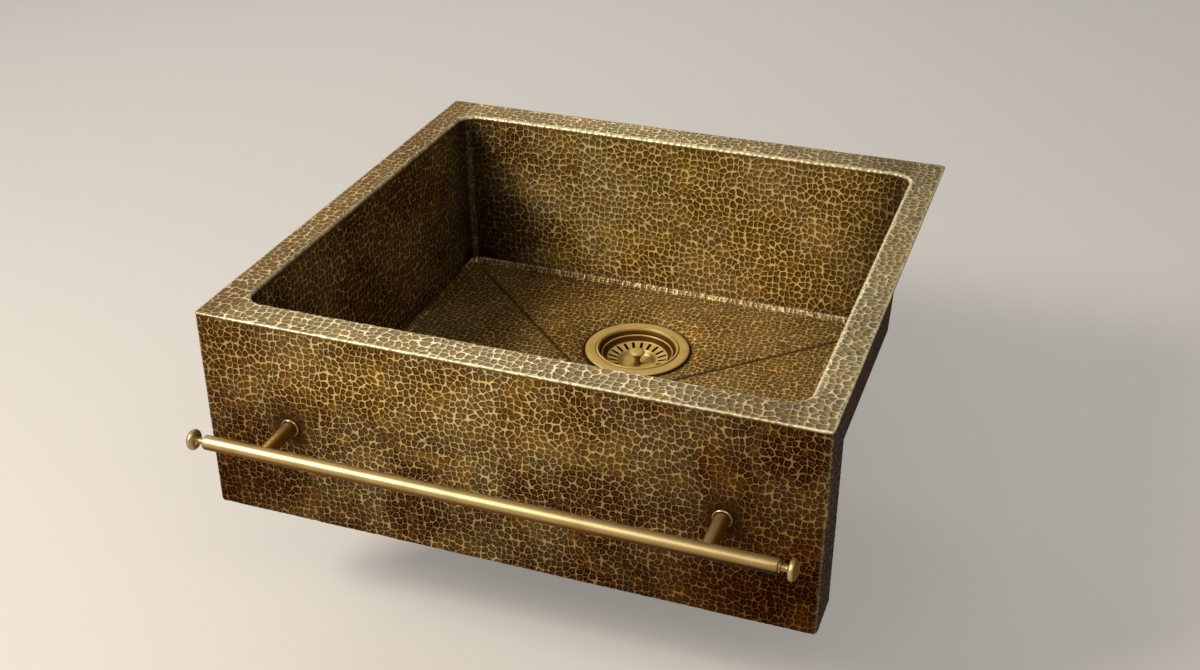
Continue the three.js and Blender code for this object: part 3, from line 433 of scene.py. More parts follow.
def band_faces(row_count, column_count, rows_close, columns_close, first=0):
    """Quads between neighbouring rows of points, as indices."""
    rows = np.arange(row_count if rows_close else row_count - 1)
    columns = np.arange(column_count if columns_close else column_count - 1)
    row, column = np.meshgrid(rows, columns, indexing="ij")
    next_row = (row + 1) % row_count
    next_column = (column + 1) % column_count
    quads = [
        row * column_count + column, row * column_count + next_column,
        next_row * column_count + next_column, next_row * column_count + column,
    ]
    return (np.stack(quads, -1).reshape(-1, 4) + first).tolist()


def steps_for(length, step=MESH_STEP):
    """How many steps of about one size fill a length."""
    return max(1, round(length / step))


def smooth_step(values):
    """0 up to 0, 1 from 1 on, with a smooth run between."""
    values = np.clip(values, 0, 1)
    return values * values * (3 - 2 * values)


def eased_share(values, start, end):
    """0 at start, 1 at end and past it, with a smooth run between."""
    return smooth_step((values - start) / (end - start))


def line_at(gap, width):
    """1 on a line, fading to 0 at about one width from it."""
    return np.exp(-(gap / width) ** 2)


def along_length(path):
    """Running length at each point of a path, or down the rows at each column."""
    steps = np.linalg.norm(np.diff(path, axis=0), axis=-1)
    return np.concatenate([np.zeros_like(steps[:1]), np.cumsum(steps, axis=0)])


def quarter_arc(x, y, radius, quarter, steps):
    """Points round a quarter turn about (x, y), from end to end. Quarter 0 starts at +X."""
    turns = (quarter + np.arange(steps + 1) / steps) * math.pi / 2
    return [(x + radius * math.cos(t), y + radius * math.sin(t)) for t in turns]


def quarter_turn(steps):
    """Sine and 1 - cosine through a quarter turn."""
    return [(math.sin(t), 1 - math.cos(t)) for t in np.linspace(0, math.pi / 2, steps + 1)]


def strayed(marks):
    """Bends an even pattern, counted in marks, so that its rows wander as they do by hand."""
    u, v = marks[..., 0], marks[..., 1]
    shift_u = 0.18 * np.sin(v / 1.25 + 1.3 * np.sin(u / 3.1)) + 0.12 * np.sin(u / 0.92 + v / 2.3)
    shift_v = 0.18 * np.sin(u / 1.13 + 1.7 * np.sin(v / 2.6)) + 0.12 * np.sin(v / 0.97 - u / 1.8)
    return np.stack([u + shift_u, v + shift_v, np.zeros_like(u)], -1)


# ---------------------------------------------------------------------------
# Hammered sheet
# ---------------------------------------------------------------------------

STRAIGHT_X = steps_for(OPENING_HIGH.x - OPENING_LOW.x - 2 * OPENING_CORNER_RADIUS)
STRAIGHT_Y = steps_for(OPENING_HIGH.y - OPENING_LOW.y - 2 * OPENING_CORNER_RADIUS)


def rounded_loop(low, high, inset, radius, z):
    """Points round a rectangle with round corners, from the rear end of its right side, anticlockwise."""
    radius = max(radius, LEAST_RADIUS)
    x0, x1 = low.x + inset + radius, high.x - inset - radius
    y0, y1 = low.y + inset + radius, high.y - inset - radius
    centres = [(x1, y1), (x0, y1), (x0, y0), (x1, y0)]
    arcs = [quarter_arc(x, y, radius, quarter, CORNER_COLUMNS) for quarter, (x, y) in enumerate(centres)]
    points = []
    for quarter, arc in enumerate(arcs):
        count = STRAIGHT_X if quarter % 2 == 0 else STRAIGHT_Y
        start, end = np.array(arc[-1]), np.array(arcs[(quarter + 1) % 4][0])
        points += arc[:-1] + [tuple(start + (end - start) * k / count) for k in range(count)]
    return np.array([(x, y, z) for x, y in points])


def opening_loop(inset, z):
    """Points round the bowl's opening, inset from its lip."""
    return rounded_loop(OPENING_LOW, OPENING_HIGH, inset, OPENING_CORNER_RADIUS - inset, z)


def deck_loop(inset, z):
    """Points round the deck, inset from its outer edge."""
    return rounded_loop(DECK_LOW, DECK_HIGH, inset, BODY_CORNER_RADIUS - inset, z)


def hammer(piece):
    """Presses the marks into the sheet: dished hollows, sharp ridges, and a slow wave in the sheet."""
    group = bpy.data.node_groups.new("hammer_marks_" + piece.name, "GeometryNodeTree")
    for way in ("INPUT", "OUTPUT"):
        group.interface.new_socket("Geometry", in_out=way, socket_type="NodeSocketGeometry")
    source = add_node(group, "NodeGroupInput").outputs[0]
    pattern, relief = (
        add_node(group, "GeometryNodeInputNamedAttribute", {"Name": name}, data_type=kind).outputs[0]
        for name, kind in (("pattern", "FLOAT_VECTOR"), ("relief", "FLOAT"))
    )
    rise = mask(group, hammer_marks(group, pattern)[0], 0.0, MARK_EDGE, MARK_DEPTH, 0.0)
    wave = computed(group, "SUBTRACT", cloud(group, pattern, WAVE_SIZE, 1.0), 0.5)
    height = computed(group, "ADD", rise, product(group, wave, 2 * WAVE_DEPTH))
    height = product(group, height, relief)
    normal = add_node(group, "GeometryNodeInputNormal").outputs[0]
    offset = vector_step(group, "SCALE", {0: normal, "Scale": height})[0]
    moved = add_node(group, "GeometryNodeSetPosition", {"Geometry": source, "Offset": offset})
    add_node(group, "NodeGroupOutput", {0: moved.outputs[0]})
    piece.modifiers.new("hammer_marks", "NODES").node_group = group


def beads(along):
    """The small marks of a dressed seam: 1 on each bead, with some beads missing."""
    turns = along * 2 * math.pi / BEAD_PITCH
    return smooth_step(0.55 + 0.7 * np.sin(turns) + 0.45 * np.sin(turns / 3.7 + 1.3 * np.sin(turns / 11)))


def sheet_values(points, pattern, **shares):
    """What the hammered brass reads at each point. The pattern is counted in hammer marks."""
    values = {"pattern": strayed(pattern)}
    for name in SHARES:
        values[name] = np.broadcast_to(np.ravel(shares.get(name, 0.0)), len(points))
    return values


def sheet_piece(name, points, faces, material, values):
    """A piece of the hammered sheet metal body."""
    return add_piece(name, points, faces, material, "sink", values)


def near_rear(y):
    """1 at the rear wall's foot, fading to 0 at the front of the strip along it."""
    return eased_share(y, OPENING_HIGH.y - REAR_STRIP, OPENING_HIGH.y - WALL_DRAFT)


def deck_piece(material):
    """The flat deck, with its eased outer edge and the lip rolled down into the bowl."""
    outer = [deck_loop(0, -DECK_THICKNESS), deck_loop(0, -DECK_EDGE_RADIUS)]
    outer += [
        deck_loop(DECK_EDGE_RADIUS * back, DECK_EDGE_RADIUS * (up - 1))
        for up, back in quarter_turn(EDGE_STEPS)[1:]
    ]
    lip_start = opening_loop(-LIP_RADIUS, 0)
    top = [outer[-1] + (lip_start - outer[-1]) * k / DECK_ROWS for k in range(1, DECK_ROWS + 1)]
    lip = [opening_loop(LIP_RADIUS * (s - 1), -LIP_RADIUS * c) for s, c in quarter_turn(LIP_STEPS)[1:]]
    under = [opening_loop(-SHEET, -LIP_RADIUS), opening_loop(-LIP_RADIUS, -DECK_THICKNESS)]
    rows = np.array(outer + top + lip + under)
    first_top = len(outer) - 1
    last_top = first_top + len(top)
    last_seen = last_top + len(lip)

    x, y, _ = np.moveaxis(rows, -1, 0)
    path = along_length(rows)
    relief = smooth_step((path - path[0]) / PLAIN_EDGE) * smooth_step((path[last_seen] - path) / PLAIN_EDGE)
    # Painted shade: darker towards both ends and left of the bowl; painted light: paler right of it
    patina = 0.34 * eased_share(x, -20 * MM, 280 * MM) + 0.3 * eased_share(x, -80 * MM, -270 * MM)
    patina += 0.32 * eased_share(x, OPENING_LOW.x + 2 * MM, OPENING_LOW.x - 6 * MM)
    patina -= 0.3 * eased_share(x, OPENING_HIGH.x - 6 * MM, OPENING_HIGH.x + 2 * MM)
    # Painted highlights along the deck's eased outer edge and along the lip, which break into beads at the
    # bowl's left end and fade under the painted shade
    edge_line = 0.8 * line_at(path - path[first_top] + 0.6 * DECK_EDGE_RADIUS, 0.8 * MM)
    lip_line = 0.7 * line_at(path - path[last_top + 2], 1.7 * MM)
    lip_line *= 1 - 0.6 * eased_share(x, OPENING_LOW.x + 8 * MM, OPENING_LOW.x) * (1 - beads(y))
    polish = np.maximum(edge_line, lip_line) * (1 - patina)
    polish[last_seen + 1:] = 0
    points = rows.reshape(-1, 3)
    values = sheet_values(
        points, points[:, :2] / DECK_MARK, relief=relief, polish=polish, patina=patina, rubbing=DECK_RUBBING,
    )
    faces = band_faces(*rows.shape[:2], True, True)
    return sheet_piece("hammered_deck", points, faces, material, values)


def wall_loop(share, inset=0.0):
    """Points round the leaning walls, from the foot of their collar at 0 to the edge of the floor at 1."""
    return opening_loop(WALL_DRAFT * share + inset, -COLLAR_DEPTH + (WALL_FOOT + COLLAR_DEPTH) * share)


def wall_piece(material):
    """The four bowl walls, leaning in towards the floor. Outside, their marks stand out instead of in."""
    lean = steps_for(-COLLAR_DEPTH - WALL_FOOT)
    coarse = lean // 2
    inner = [opening_loop(0, -LIP_RADIUS), opening_loop(0, -(LIP_RADIUS + COLLAR_DEPTH) / 2)]
    inner += [wall_loop(k / lean) for k in range(lean + 1)]
    back = [wall_loop(k / coarse, -SHEET) for k in range(coarse, -1, -1)]
    back += [opening_loop(-SHEET, -LIP_RADIUS)]
    rows = np.array(inner + back)
    outside = slice(len(inner), None)

    x, y, z = np.moveaxis(rows, -1, 0)
    around, path = along_length(rows[0]), along_length(rows)
    depth = -LIP_RADIUS - z
    to_foot = path[len(inner) - 1] - path
    relief = smooth_step((depth + 0.3 * PLAIN_EDGE) / PLAIN_EDGE) * smooth_step((z - WALL_FOOT) / PLAIN_EDGE)
    relief *= smooth_step(np.minimum(around, around[-1] - around) / (2 * PLAIN_EDGE))
    relief[outside] *= REVERSED_RELIEF
    from_side, from_end = side_gaps(x, y)
    gap = np.hypot(np.maximum(from_side, 0), np.maximum(from_end, 0))
    fold = line_at(gap - gap.min(axis=1, keepdims=True), FOLD_LINE) * (0.4 + 0.6 * beads(depth))
    # Painted highlights: beads along the walls' foot at the rear, and a faint line down each upright corner
    polish = np.maximum(line_at(to_foot, SEAM_LINE) * beads(x) * near_rear(y), 0.04 * fold)
    # Painted shade in the upright corners, reaching wider towards the floor, and along the walls' foot; less
    # on the corner lines
    corner_reach = (29 + 50 * z / WALL_FOOT) * MM
    grime = (0.93 * line_at(gap, corner_reach) + 0.25 * line_at(to_foot, 14 * MM)) * (1 - 0.35 * fold)
    # Painted shade towards both end walls; painted light on the back wall, rising away from its left end
    patina = 0.4 * eased_share(x, OPENING_LOW.x + 90 * MM, OPENING_LOW.x + 10 * MM)
    patina += 0.35 * eased_share(x, OPENING_HIGH.x - 90 * MM, OPENING_HIGH.x - 10 * MM)
    gilding = 0.2 + 0.8 * eased_share(x, OPENING_LOW.x + 50 * MM, OPENING_LOW.x + 180 * MM) * near_rear(y)
    polish[outside], grime[outside], patina[outside], gilding[outside] = 0, 0.1, 0.3, 0
    points = rows.reshape(-1, 3)
    pattern = np.stack([np.broadcast_to(around, path.shape), depth], -1).reshape(-1, 2) / WALL_MARK
    values = sheet_values(
        points, pattern, relief=relief, polish=polish, grime=grime, patina=patina, gilding=gilding,
    )
    faces = band_faces(*rows.shape[:2], True, True)
    return sheet_piece("hammered_bowl_walls", points, faces, material, values)


def side_gaps(x, y):
    """How far each point is from the opening's nearer side, and from its nearer end."""
    return (
        np.minimum(x - OPENING_LOW.x, OPENING_HIGH.x - x),
        np.minimum(y - OPENING_LOW.y, OPENING_HIGH.y - y),
    )


def half_opening(inset):
    """Half the opening's width and half its depth, less an inset."""
    return (OPENING_HIGH.x - OPENING_LOW.x) / 2 - inset, (OPENING_HIGH.y - OPENING_LOW.y) / 2 - inset


def from_drain(x, y):
    """Distance from the drain's centre, seen from above."""
    return np.hypot(x - DRAIN.x, y - DRAIN.y)


def floor_height(x, y):
    """Height of the bowl floor's upper face and depth of its creases: four flats, and the dish."""
    half_x, half_y = half_opening(WALL_DRAFT + FLOOR_RADIUS)
    share_x, share_y = np.abs(x - OPENING_CENTRE.x) / half_x, np.abs(y - OPENING_CENTRE.y) / half_y
    share = np.maximum(share_x, share_y)
    flats = BOWL_FLOOR - FLOOR_FALL * (1 - np.clip(share, 0, 1))
    radius = from_drain(x, y)
    slope = (BOWL_FLOOR - DISH_FLOOR) / DISH_RIM_WIDTH
    dish = DISH_FLOOR + np.maximum(radius - DISH_RADIUS, 0) * slope
    height = -DISH_EASE * np.logaddexp(-flats / DISH_EASE, -dish / DISH_EASE)
    crease_gap = np.abs(share_x - share_y) * half_x * half_y / math.hypot(half_x, half_y)
    crease = line_at(crease_gap, CREASE_WIDTH) * smooth_step((1 - share) * 8)
    crease *= smooth_step((radius - DISH_RADIUS - 6 * MM) / (14 * MM))
    return height - CREASE_DEPTH * crease, crease


def grid_axis(half, count, blocks):
    """Places along one side of the floor's grid, and how far out in a corner block each one is."""
    out = np.arange(1, blocks + 1) / blocks
    base = np.linspace(-half, half, count + 1)
    return np.pad(base, blocks, "edge"), np.concatenate([-out[::-1], np.zeros(count + 1), out])


def floor_grid():
    """A square grid whose border follows the floor's edge loop, with its corners rounded."""
    blocks = CORNER_COLUMNS // 2
    radius = OPENING_CORNER_RADIUS - WALL_DRAFT - FLOOR_RADIUS
    half_x, half_y = half_opening(OPENING_CORNER_RADIUS)
    base_x, out_x = grid_axis(half_x, STRAIGHT_X, blocks)
    base_y, out_y = grid_axis(half_y, STRAIGHT_Y, blocks)
    base_x, base_y = np.meshgrid(base_x, base_y, indexing="ij")
    out_x, out_y = np.meshgrid(out_x, out_y, indexing="ij")
    reach = np.maximum(np.abs(out_x), np.abs(out_y))
    least = np.minimum(np.abs(out_x), np.abs(out_y))
    turn = least / np.maximum(reach, 1e-9) * math.pi / 4
    along, across = radius * reach * np.cos(turn), radius * reach * np.sin(turn)
    x_leads = np.abs(out_x) >= np.abs(out_y)
    corner_x = np.where(x_leads, along, across) * np.sign(out_x)
    corner_y = np.where(x_leads, across, along) * np.sign(out_y)
    return OPENING_CENTRE.x + base_x + corner_x, OPENING_CENTRE.y + base_y + corner_y


def floor_rows():
    """Loops up the floor's turned edge, down outside it, and in under the floor to the drain hole."""
    edge = WALL_DRAFT + FLOOR_RADIUS
    thick = FLOOR_RADIUS + SHEET
    turned_up = [
        opening_loop(edge - FLOOR_RADIUS * s, WALL_FOOT - FLOOR_RADIUS * (1 - c))
        for s, c in quarter_turn(LIP_STEPS)[1:]
    ]
    outside = [
        opening_loop(edge - thick * s, WALL_FOOT - thick * (1 - c))
        for s, c in reversed(quarter_turn(BEND_STEPS))
    ]
    foot = outside[-1]
    turns = np.arctan2(foot[:, 1] - DRAIN.y, foot[:, 0] - DRAIN.x)
    hole = np.column_stack([
        DRAIN.x + DRAIN_HOLE_RADIUS * np.cos(turns), DRAIN.y + DRAIN_HOLE_RADIUS * np.sin(turns),
        np.zeros(len(turns)),
    ])
    under = []
    for share in np.linspace(0, 1, UNDERSIDE_ROWS + 1)[1:] ** 0.8:
        row = foot + (hole - foot) * share
        row[:, 2] = floor_height(row[:, 0], row[:, 1])[0] - SHEET
        under.append(row)
    return np.array(turned_up + outside + under), len(turned_up)


def floor_piece(material):
    """The bowl's floor: turned-up edge, four creased falls, the dish and the drain hole."""
    x, y = floor_grid()
    z, crease = floor_height(x, y)
    radius = from_drain(x, y)
    near_hole = np.abs(radius - DRAIN_HOLE_RADIUS) < 0.8 * MESH_STEP
    pull = np.where(near_hole, DRAIN_HOLE_RADIUS / np.maximum(radius, 1e-6), 1.0)
    x, y = DRAIN.x + (x - DRAIN.x) * pull, DRAIN.y + (y - DRAIN.y) * pull
    index = np.arange(x.size).reshape(x.shape)
    cells = np.stack([index[:-1, :-1], index[1:, :-1], index[1:, 1:], index[:-1, 1:]], -1).reshape(-1, 4)
    in_hole = from_drain(x, y).ravel() < DRAIN_HOLE_RADIUS - 0.1 * MM
    cells = cells[~in_hole[cells].any(axis=1)]

    rows, turned_rows = floor_rows()
    points = np.vstack([np.stack([x, y, z], -1).reshape(-1, 3), rows.reshape(-1, 3)])
    columns = rows.shape[1]
    first, shown = x.size, x.size + turned_rows * columns
    border = [int(index[place]) for place in grid_border(*x.shape)]
    faces = cells.tolist() + band_faces(len(rows), columns, False, True, first)
    faces += [
        (border[k], border[(k + 1) % columns], first + (k + 1) % columns, first + k) for k in range(columns)
    ]
    values = floor_values(points, crease.ravel(), slice(first), slice(first, shown))
    return sheet_piece("hammered_bowl_floor", points, faces, material, values)


def floor_values(points, crease, flat, turned_up):
    """Marks, age, painted shade and painted highlights of the floor: its flat part, its turned edge, and the
    rest, which is hidden.
    """
    x, y, z = points.T
    radius = from_drain(x, y)
    crease = np.pad(crease, (0, len(points) - len(crease)))
    from_wall = np.zeros(len(points))
    to_edge = np.minimum(*side_gaps(x[flat], y[flat])) - WALL_DRAFT - FLOOR_RADIUS
    from_wall[flat] = np.maximum(to_edge, 0) + 8 * MM
    from_wall[turned_up] = 1.3 * (WALL_FOOT - z[turned_up])
    to_seam = np.full(len(points), FLOOR_RADIUS)
    to_seam[turned_up] = WALL_FOOT - z[turned_up]
    relief = 0.85 * smooth_step(from_wall / PLAIN_EDGE) * (1 - crease)
    relief *= smooth_step((radius - FLANGE_RADIUS - 1 * MM) / (4 * MM))
    # Painted shadow on the floor along the flange's edge
    against_flange = line_at(radius - FLANGE_RADIUS - 2.2 * MM, 2.0 * MM)
    to_right = eased_share(x, -160 * MM, 120 * MM)
    # Painted shade in the creases and towards the left, a painted highlight in beads along the rear seam,
    # and painted light towards the right and away from the walls
    return sheet_values(
        points, points[:, :2] / FLOOR_MARK, relief=relief,
        polish=line_at(to_seam, SEAM_LINE) * beads(x) * near_rear(y),
        grime=np.maximum(0.8 * crease ** 2, 0.95 * against_flange), patina=0.12 * (1 - to_right),
        rubbing=0.03 + 0.08 * to_right, gilding=smooth_step(from_wall / (20 * MM)) * (0.6 + 0.4 * to_right),
    )


def grid_border(nx, ny):
    """Grid places round the border in the order of rounded_loop, from the right side's rear end."""
    blocks = CORNER_COLUMNS // 2
    right = [(nx - 1, j) for j in range(ny - 1 - blocks, ny - 1)]
    top = [(i, ny - 1) for i in range(nx - 1, 0, -1)]
    left = [(0, j) for j in range(ny - 1, 0, -1)]
    bottom = [(i, 0) for i in range(0, nx - 1)]
    rest = [(nx - 1, j) for j in range(0, ny - 1 - blocks)]
    return right + top + left + bottom + rest


def apron_path(inset):
    """Points along the apron from its left side's rear end, round its face, to the right side's."""
    low, high = APRON_LOW, APRON_HIGH
    radius = max(BODY_CORNER_RADIUS - inset, LEAST_RADIUS)
    x0, x1, y0, y1 = low.x + inset, high.x - inset, low.y + inset, high.y
    side = steps_for(high.y - low.y - BODY_CORNER_RADIUS)
    face = steps_for(high.x - low.x - 2 * BODY_CORNER_RADIUS)
    path = [(x0, y1 + (y0 + radius - y1) * k / side) for k in range(side)]
    path += quarter_arc(x0 + radius, y0 + radius, radius, 2, BEND_STEPS)[:-1]
    path += [(x0 + radius + (x1 - x0 - 2 * radius) * k / face, y0) for k in range(face)]
    path += quarter_arc(x1 - radius, y0 + radius, radius, 3, BEND_STEPS)[:-1]
    path += [(x1, y0 + radius + (y1 - y0 - radius) * k / side) for k in range(side + 1)]
    return np.array(path)


def at_height(path, z):
    """A flat path as points at one height."""
    return np.column_stack([path, np.full(len(path), z)])


def apron_piece(material):
    """The apron: face and folded sides in one skin, and the folded foot under it."""
    top, bottom = -DECK_THICKNESS, APRON_LOW.z
    fold = bottom + APRON_FOOT_RADIUS
    down = steps_for(top - fold)
    outer = [at_height(apron_path(0), top + (fold - top) * k / down) for k in range(down + 1)]
    outer += [
        at_height(apron_path(APRON_FOOT_RADIUS * c), fold - APRON_FOOT_RADIUS * s)
        for s, c in quarter_turn(BEND_STEPS)[1:]
    ]
    inner = [
        at_height(apron_path(APRON_FOOT_RADIUS), bottom + SHEET), at_height(apron_path(SHEET), fold),
        at_height(apron_path(SHEET), top),
    ]
    rows = np.array(outer + inner)
    row_count, column_count = rows.shape[:2]
    faces = band_faces(row_count, column_count, True, False)
    rear_end = [k * column_count for k in range(row_count)]
    faces += [rear_end, [k + column_count - 1 for k in reversed(rear_end)]]

    foot, foot_faces = foot_plate(bottom)
    first = row_count * column_count
    faces += [[first + k for k in face] for face in foot_faces]
    skin_values = apron_values(rows, len(outer) - 1)
    foot_values = sheet_values(foot, foot[:, :2] / APRON_MARK, grime=HIDDEN_GRIME, patina=1.0)
    values = {key: np.concatenate([skin_values[key], foot_values[key]]) for key in skin_values}
    return sheet_piece("hammered_apron", np.vstack([rows.reshape(-1, 3), foot]), faces, material, values)


def apron_values(rows, last):
    """Marks, age, painted shade and painted highlights of the apron's skin. Its outside ends at the row
    named last.
    """
    x, y, z = np.moveaxis(rows, -1, 0)
    around, path = along_length(rows[0]), along_length(rows)
    sides = smooth_step((y - APRON_LOW.y - BODY_CORNER_RADIUS) / (20 * MM))
    # Round each post's collar on the face the marks fade and painted shade darkens the sheet
    soot = np.zeros_like(path)
    for middle in POST_MIDDLES.values():
        past_collar = np.maximum(np.hypot(x - middle, z - BAR_AXIS.z) - 9 * MM, 0)
        soot = np.maximum(soot, np.where(y < APRON_LOW.y + SHEET, line_at(past_collar, 11 * MM), 0))
    relief = smooth_step(path / PLAIN_EDGE) * smooth_step((path[last] - path) / PLAIN_EDGE)
    relief *= smooth_step(np.minimum(around, around[-1] - around) / PLAIN_EDGE) * (1 - 0.75 * soot)
    from_corner = APRON_HIGH.x - np.abs(x)
    # A painted highlight in beads down each upright corner of the face, and a darker beaded line beside it
    bright_line = line_at(from_corner - 1.2 * MM, CORNER_LINE) * (1 - sides)
    polish = 0.22 * bright_line * (0.35 + 0.65 * beads(z))
    dark_line = line_at(from_corner - 5.5 * MM, CORNER_LINE) * (1 - sides)
    # Painted shade round the posts and on the folded sides
    grime = np.maximum(np.maximum(0.75 * soot, 0.3 * sides), 0.5 * dark_line * beads(z))
    relief[last + 1:], polish[last + 1:], grime[last + 1:] = 0, 0, HIDDEN_GRIME
    # Painted shade: darker towards the foot, towards both ends and on the folded sides
    to_foot = eased_share(z, -30 * MM, -200 * MM)
    to_right, to_left = eased_share(x, -20 * MM, 290 * MM), eased_share(x, -140 * MM, -300 * MM)
    patina = 0.15 + 0.36 * to_foot + 0.6 * to_right + 0.44 * to_left + sides
    # Painted light in a band across the upper part of the face, fading out towards the right
    gilding = 0.7 * line_at(z + 45 * MM, 42 * MM) * eased_share(x, 200 * MM, 0) * (1 - sides)
    pattern = np.stack([np.broadcast_to(around, path.shape), path], -1).reshape(-1, 2) / APRON_MARK
    return sheet_values(
        rows.reshape(-1, 3), pattern, relief=relief, polish=polish, grime=grime,
        patina=np.minimum(patina, 1.05), gilding=gilding,
    )


def foot_plate(bottom):
    """The folded foot's flat, from behind the fold to its free edge."""
    x0, x1 = APRON_LOW.x + APRON_FOOT_RADIUS, APRON_HIGH.x - APRON_FOOT_RADIUS
    y0, y1 = APRON_LOW.y + APRON_FOOT_RADIUS, APRON_LOW.y + APRON_FOOT_DEPTH
    corners = [(x0, y0), (x1, y0), (x1, y1), (x0, y1)]
    points = np.array([(x, y, bottom) for x, y in corners] + [(x, y, bottom + SHEET) for x, y in corners])
    sides = [[k, (k + 1) % 4, 4 + (k + 1) % 4, 4 + k] for k in range(4)]
    return points, [[3, 2, 1, 0], [4, 5, 6, 7]] + sides


# ---------------------------------------------------------------------------
# Turned pieces
# ---------------------------------------------------------------------------

def eased(profile, radius, closed=True, steps=3):
    """A profile with its corners rounded by short curves."""
    profile = np.array(profile, float)
    last = len(profile) - 1
    out = []
    for k, corner in enumerate(profile):
        if not closed and k in (0, last):
            out.append(tuple(corner))
            continue
        before, after = profile[k - 1] - corner, profile[0 if k == last else k + 1] - corner
        reach_in, reach_out = np.linalg.norm(before), np.linalg.norm(after)
        cut = min(radius, 0.45 * reach_in, 0.45 * reach_out)
        start, end = corner + before / reach_in * cut, corner + after / reach_out * cut
        for t in np.linspace(0, 1, steps + 1):
            out.append(tuple((1 - t) ** 2 * start + 2 * t * (1 - t) * corner + t * t * end))
    return out


def lathe(profile, steps, axis):
    """Points, faces and pattern of a profile, [radius, along] in metres, turned round an axis.

    The profile is closed, or it runs from pole to pole.
    """
    profile = np.array(profile, float)
    turns = np.arange(steps) / steps * 2 * math.pi
    first, second = np.outer(profile[:, 0], np.cos(turns)), np.outer(profile[:, 0], np.sin(turns))
    level = np.broadcast_to(profile[:, 1:], first.shape)
    order = {"z": (first, second, level), "y": (first, level, second), "x": (level, first, second)}
    points = np.stack(order[axis], -1).reshape(-1, 3)
    has_poles = profile[0][0] < 1e-9 and profile[-1][0] < 1e-9
    faces = band_faces(len(profile), steps, not has_poles, True)
    girth = turns * profile[:, 0].max()
    pattern = np.stack(np.broadcast_arrays(girth, along_length(profile)[:, None], 0.0), -1)
    return points, faces, pattern.reshape(-1, 3) / MM


def turned_piece(name, profile, place, material, body, axis="z", steps=TURN_STEPS, grime=None, drawn=False):
    """A lathe-turned piece set at its place. A drawn one is rubbed along its length."""
    points, faces, pattern = lathe(profile, steps, axis)
    if drawn:
        pattern = pattern[:, [1, 0, 2]]
    dark = np.zeros(len(points)) if grime is None else grime(points)
    values = {"pattern": pattern, "grime": dark}
    piece = add_piece(name, points + np.array(place), faces, material, body, values)
    turn_faces_out(piece.data, merging=1e-7)
    return piece


def mm_profile(pairs):
    """A profile written in millimetres, as metres."""
    return [(r * MM, z * MM) for r, z in pairs]


def strainer_piece(material):
    """The strainer body: satin flange, narrow bead, mouth darkened by painted shade, ledge and cup."""
    profile = eased(mm_profile([
        (19.5, -48), (23.6, -48), (30.5, -45.5), (40.4, -37), (43.6, -28), (43.6, 0),
        (59, 0), (59, 0.8), (58, 1.7), (55, 2.0), (48.0, 1.8), (47.6, 1.3), (47.1, 1.3), (46.8, 2.6),
        (45.2, 3.0), (44.4, 2.4), (43.9, -0.4), (42.4, -3.0), (41.8, -5.5), (39.4, -5.5), (36.9, -34.5),
        (27, -42), (19.5, -44.5),
    ]), 0.5 * MM)

    def dark(points):
        # Painted shade inside the mouth, deeper further down, and in the groove beside the bead
        radius, level = np.hypot(points[:, 0], points[:, 1]), points[:, 2]
        inside = eased_share(radius, 44.3 * MM, 43.6 * MM) * (level > -45 * MM)
        groove = line_at(radius - 47.4 * MM, 0.5 * MM) * (level > 0)
        deep = eased_share(level, -2 * MM, -9 * MM)
        return np.maximum((0.84 + 0.16 * deep) * inside * (level < 0.5 * MM), 0.75 * groove)

    piece = turned_piece("strainer_flange_and_cup", profile, WASTE_PLACE, material, "sink", grime=dark)
    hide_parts("strainer_body")


def slot_turns(radius):
    """Directions of the points on one ring of the basket, two at each slot's sides and more between."""
    beyond = min(radius - SLOT_INNER, SLOT_OUTER - radius)
    half = SLOT_WIDTH / 2
    round_end = math.sqrt(max(half ** 2 - max(half - beyond, 0) ** 2, 0)) if beyond > 0 else 0
    edge_turn = max(round_end, 0.25 * half) / radius
    shade_turn = SLOT_SHADE / radius
    sector = 2 * math.pi / SLOT_COUNT
    turns = []
    for index in range(SLOT_COUNT):
        middle = (index + 0.5) * sector
        start = middle + edge_turn + shade_turn
        rest = sector - 2 * edge_turn - 2 * shade_turn
        turns += [middle - edge_turn, middle + edge_turn]
        turns += [start + rest * k / SLOT_GAP_STEPS for k in range(SLOT_GAP_STEPS + 1)]
    return turns


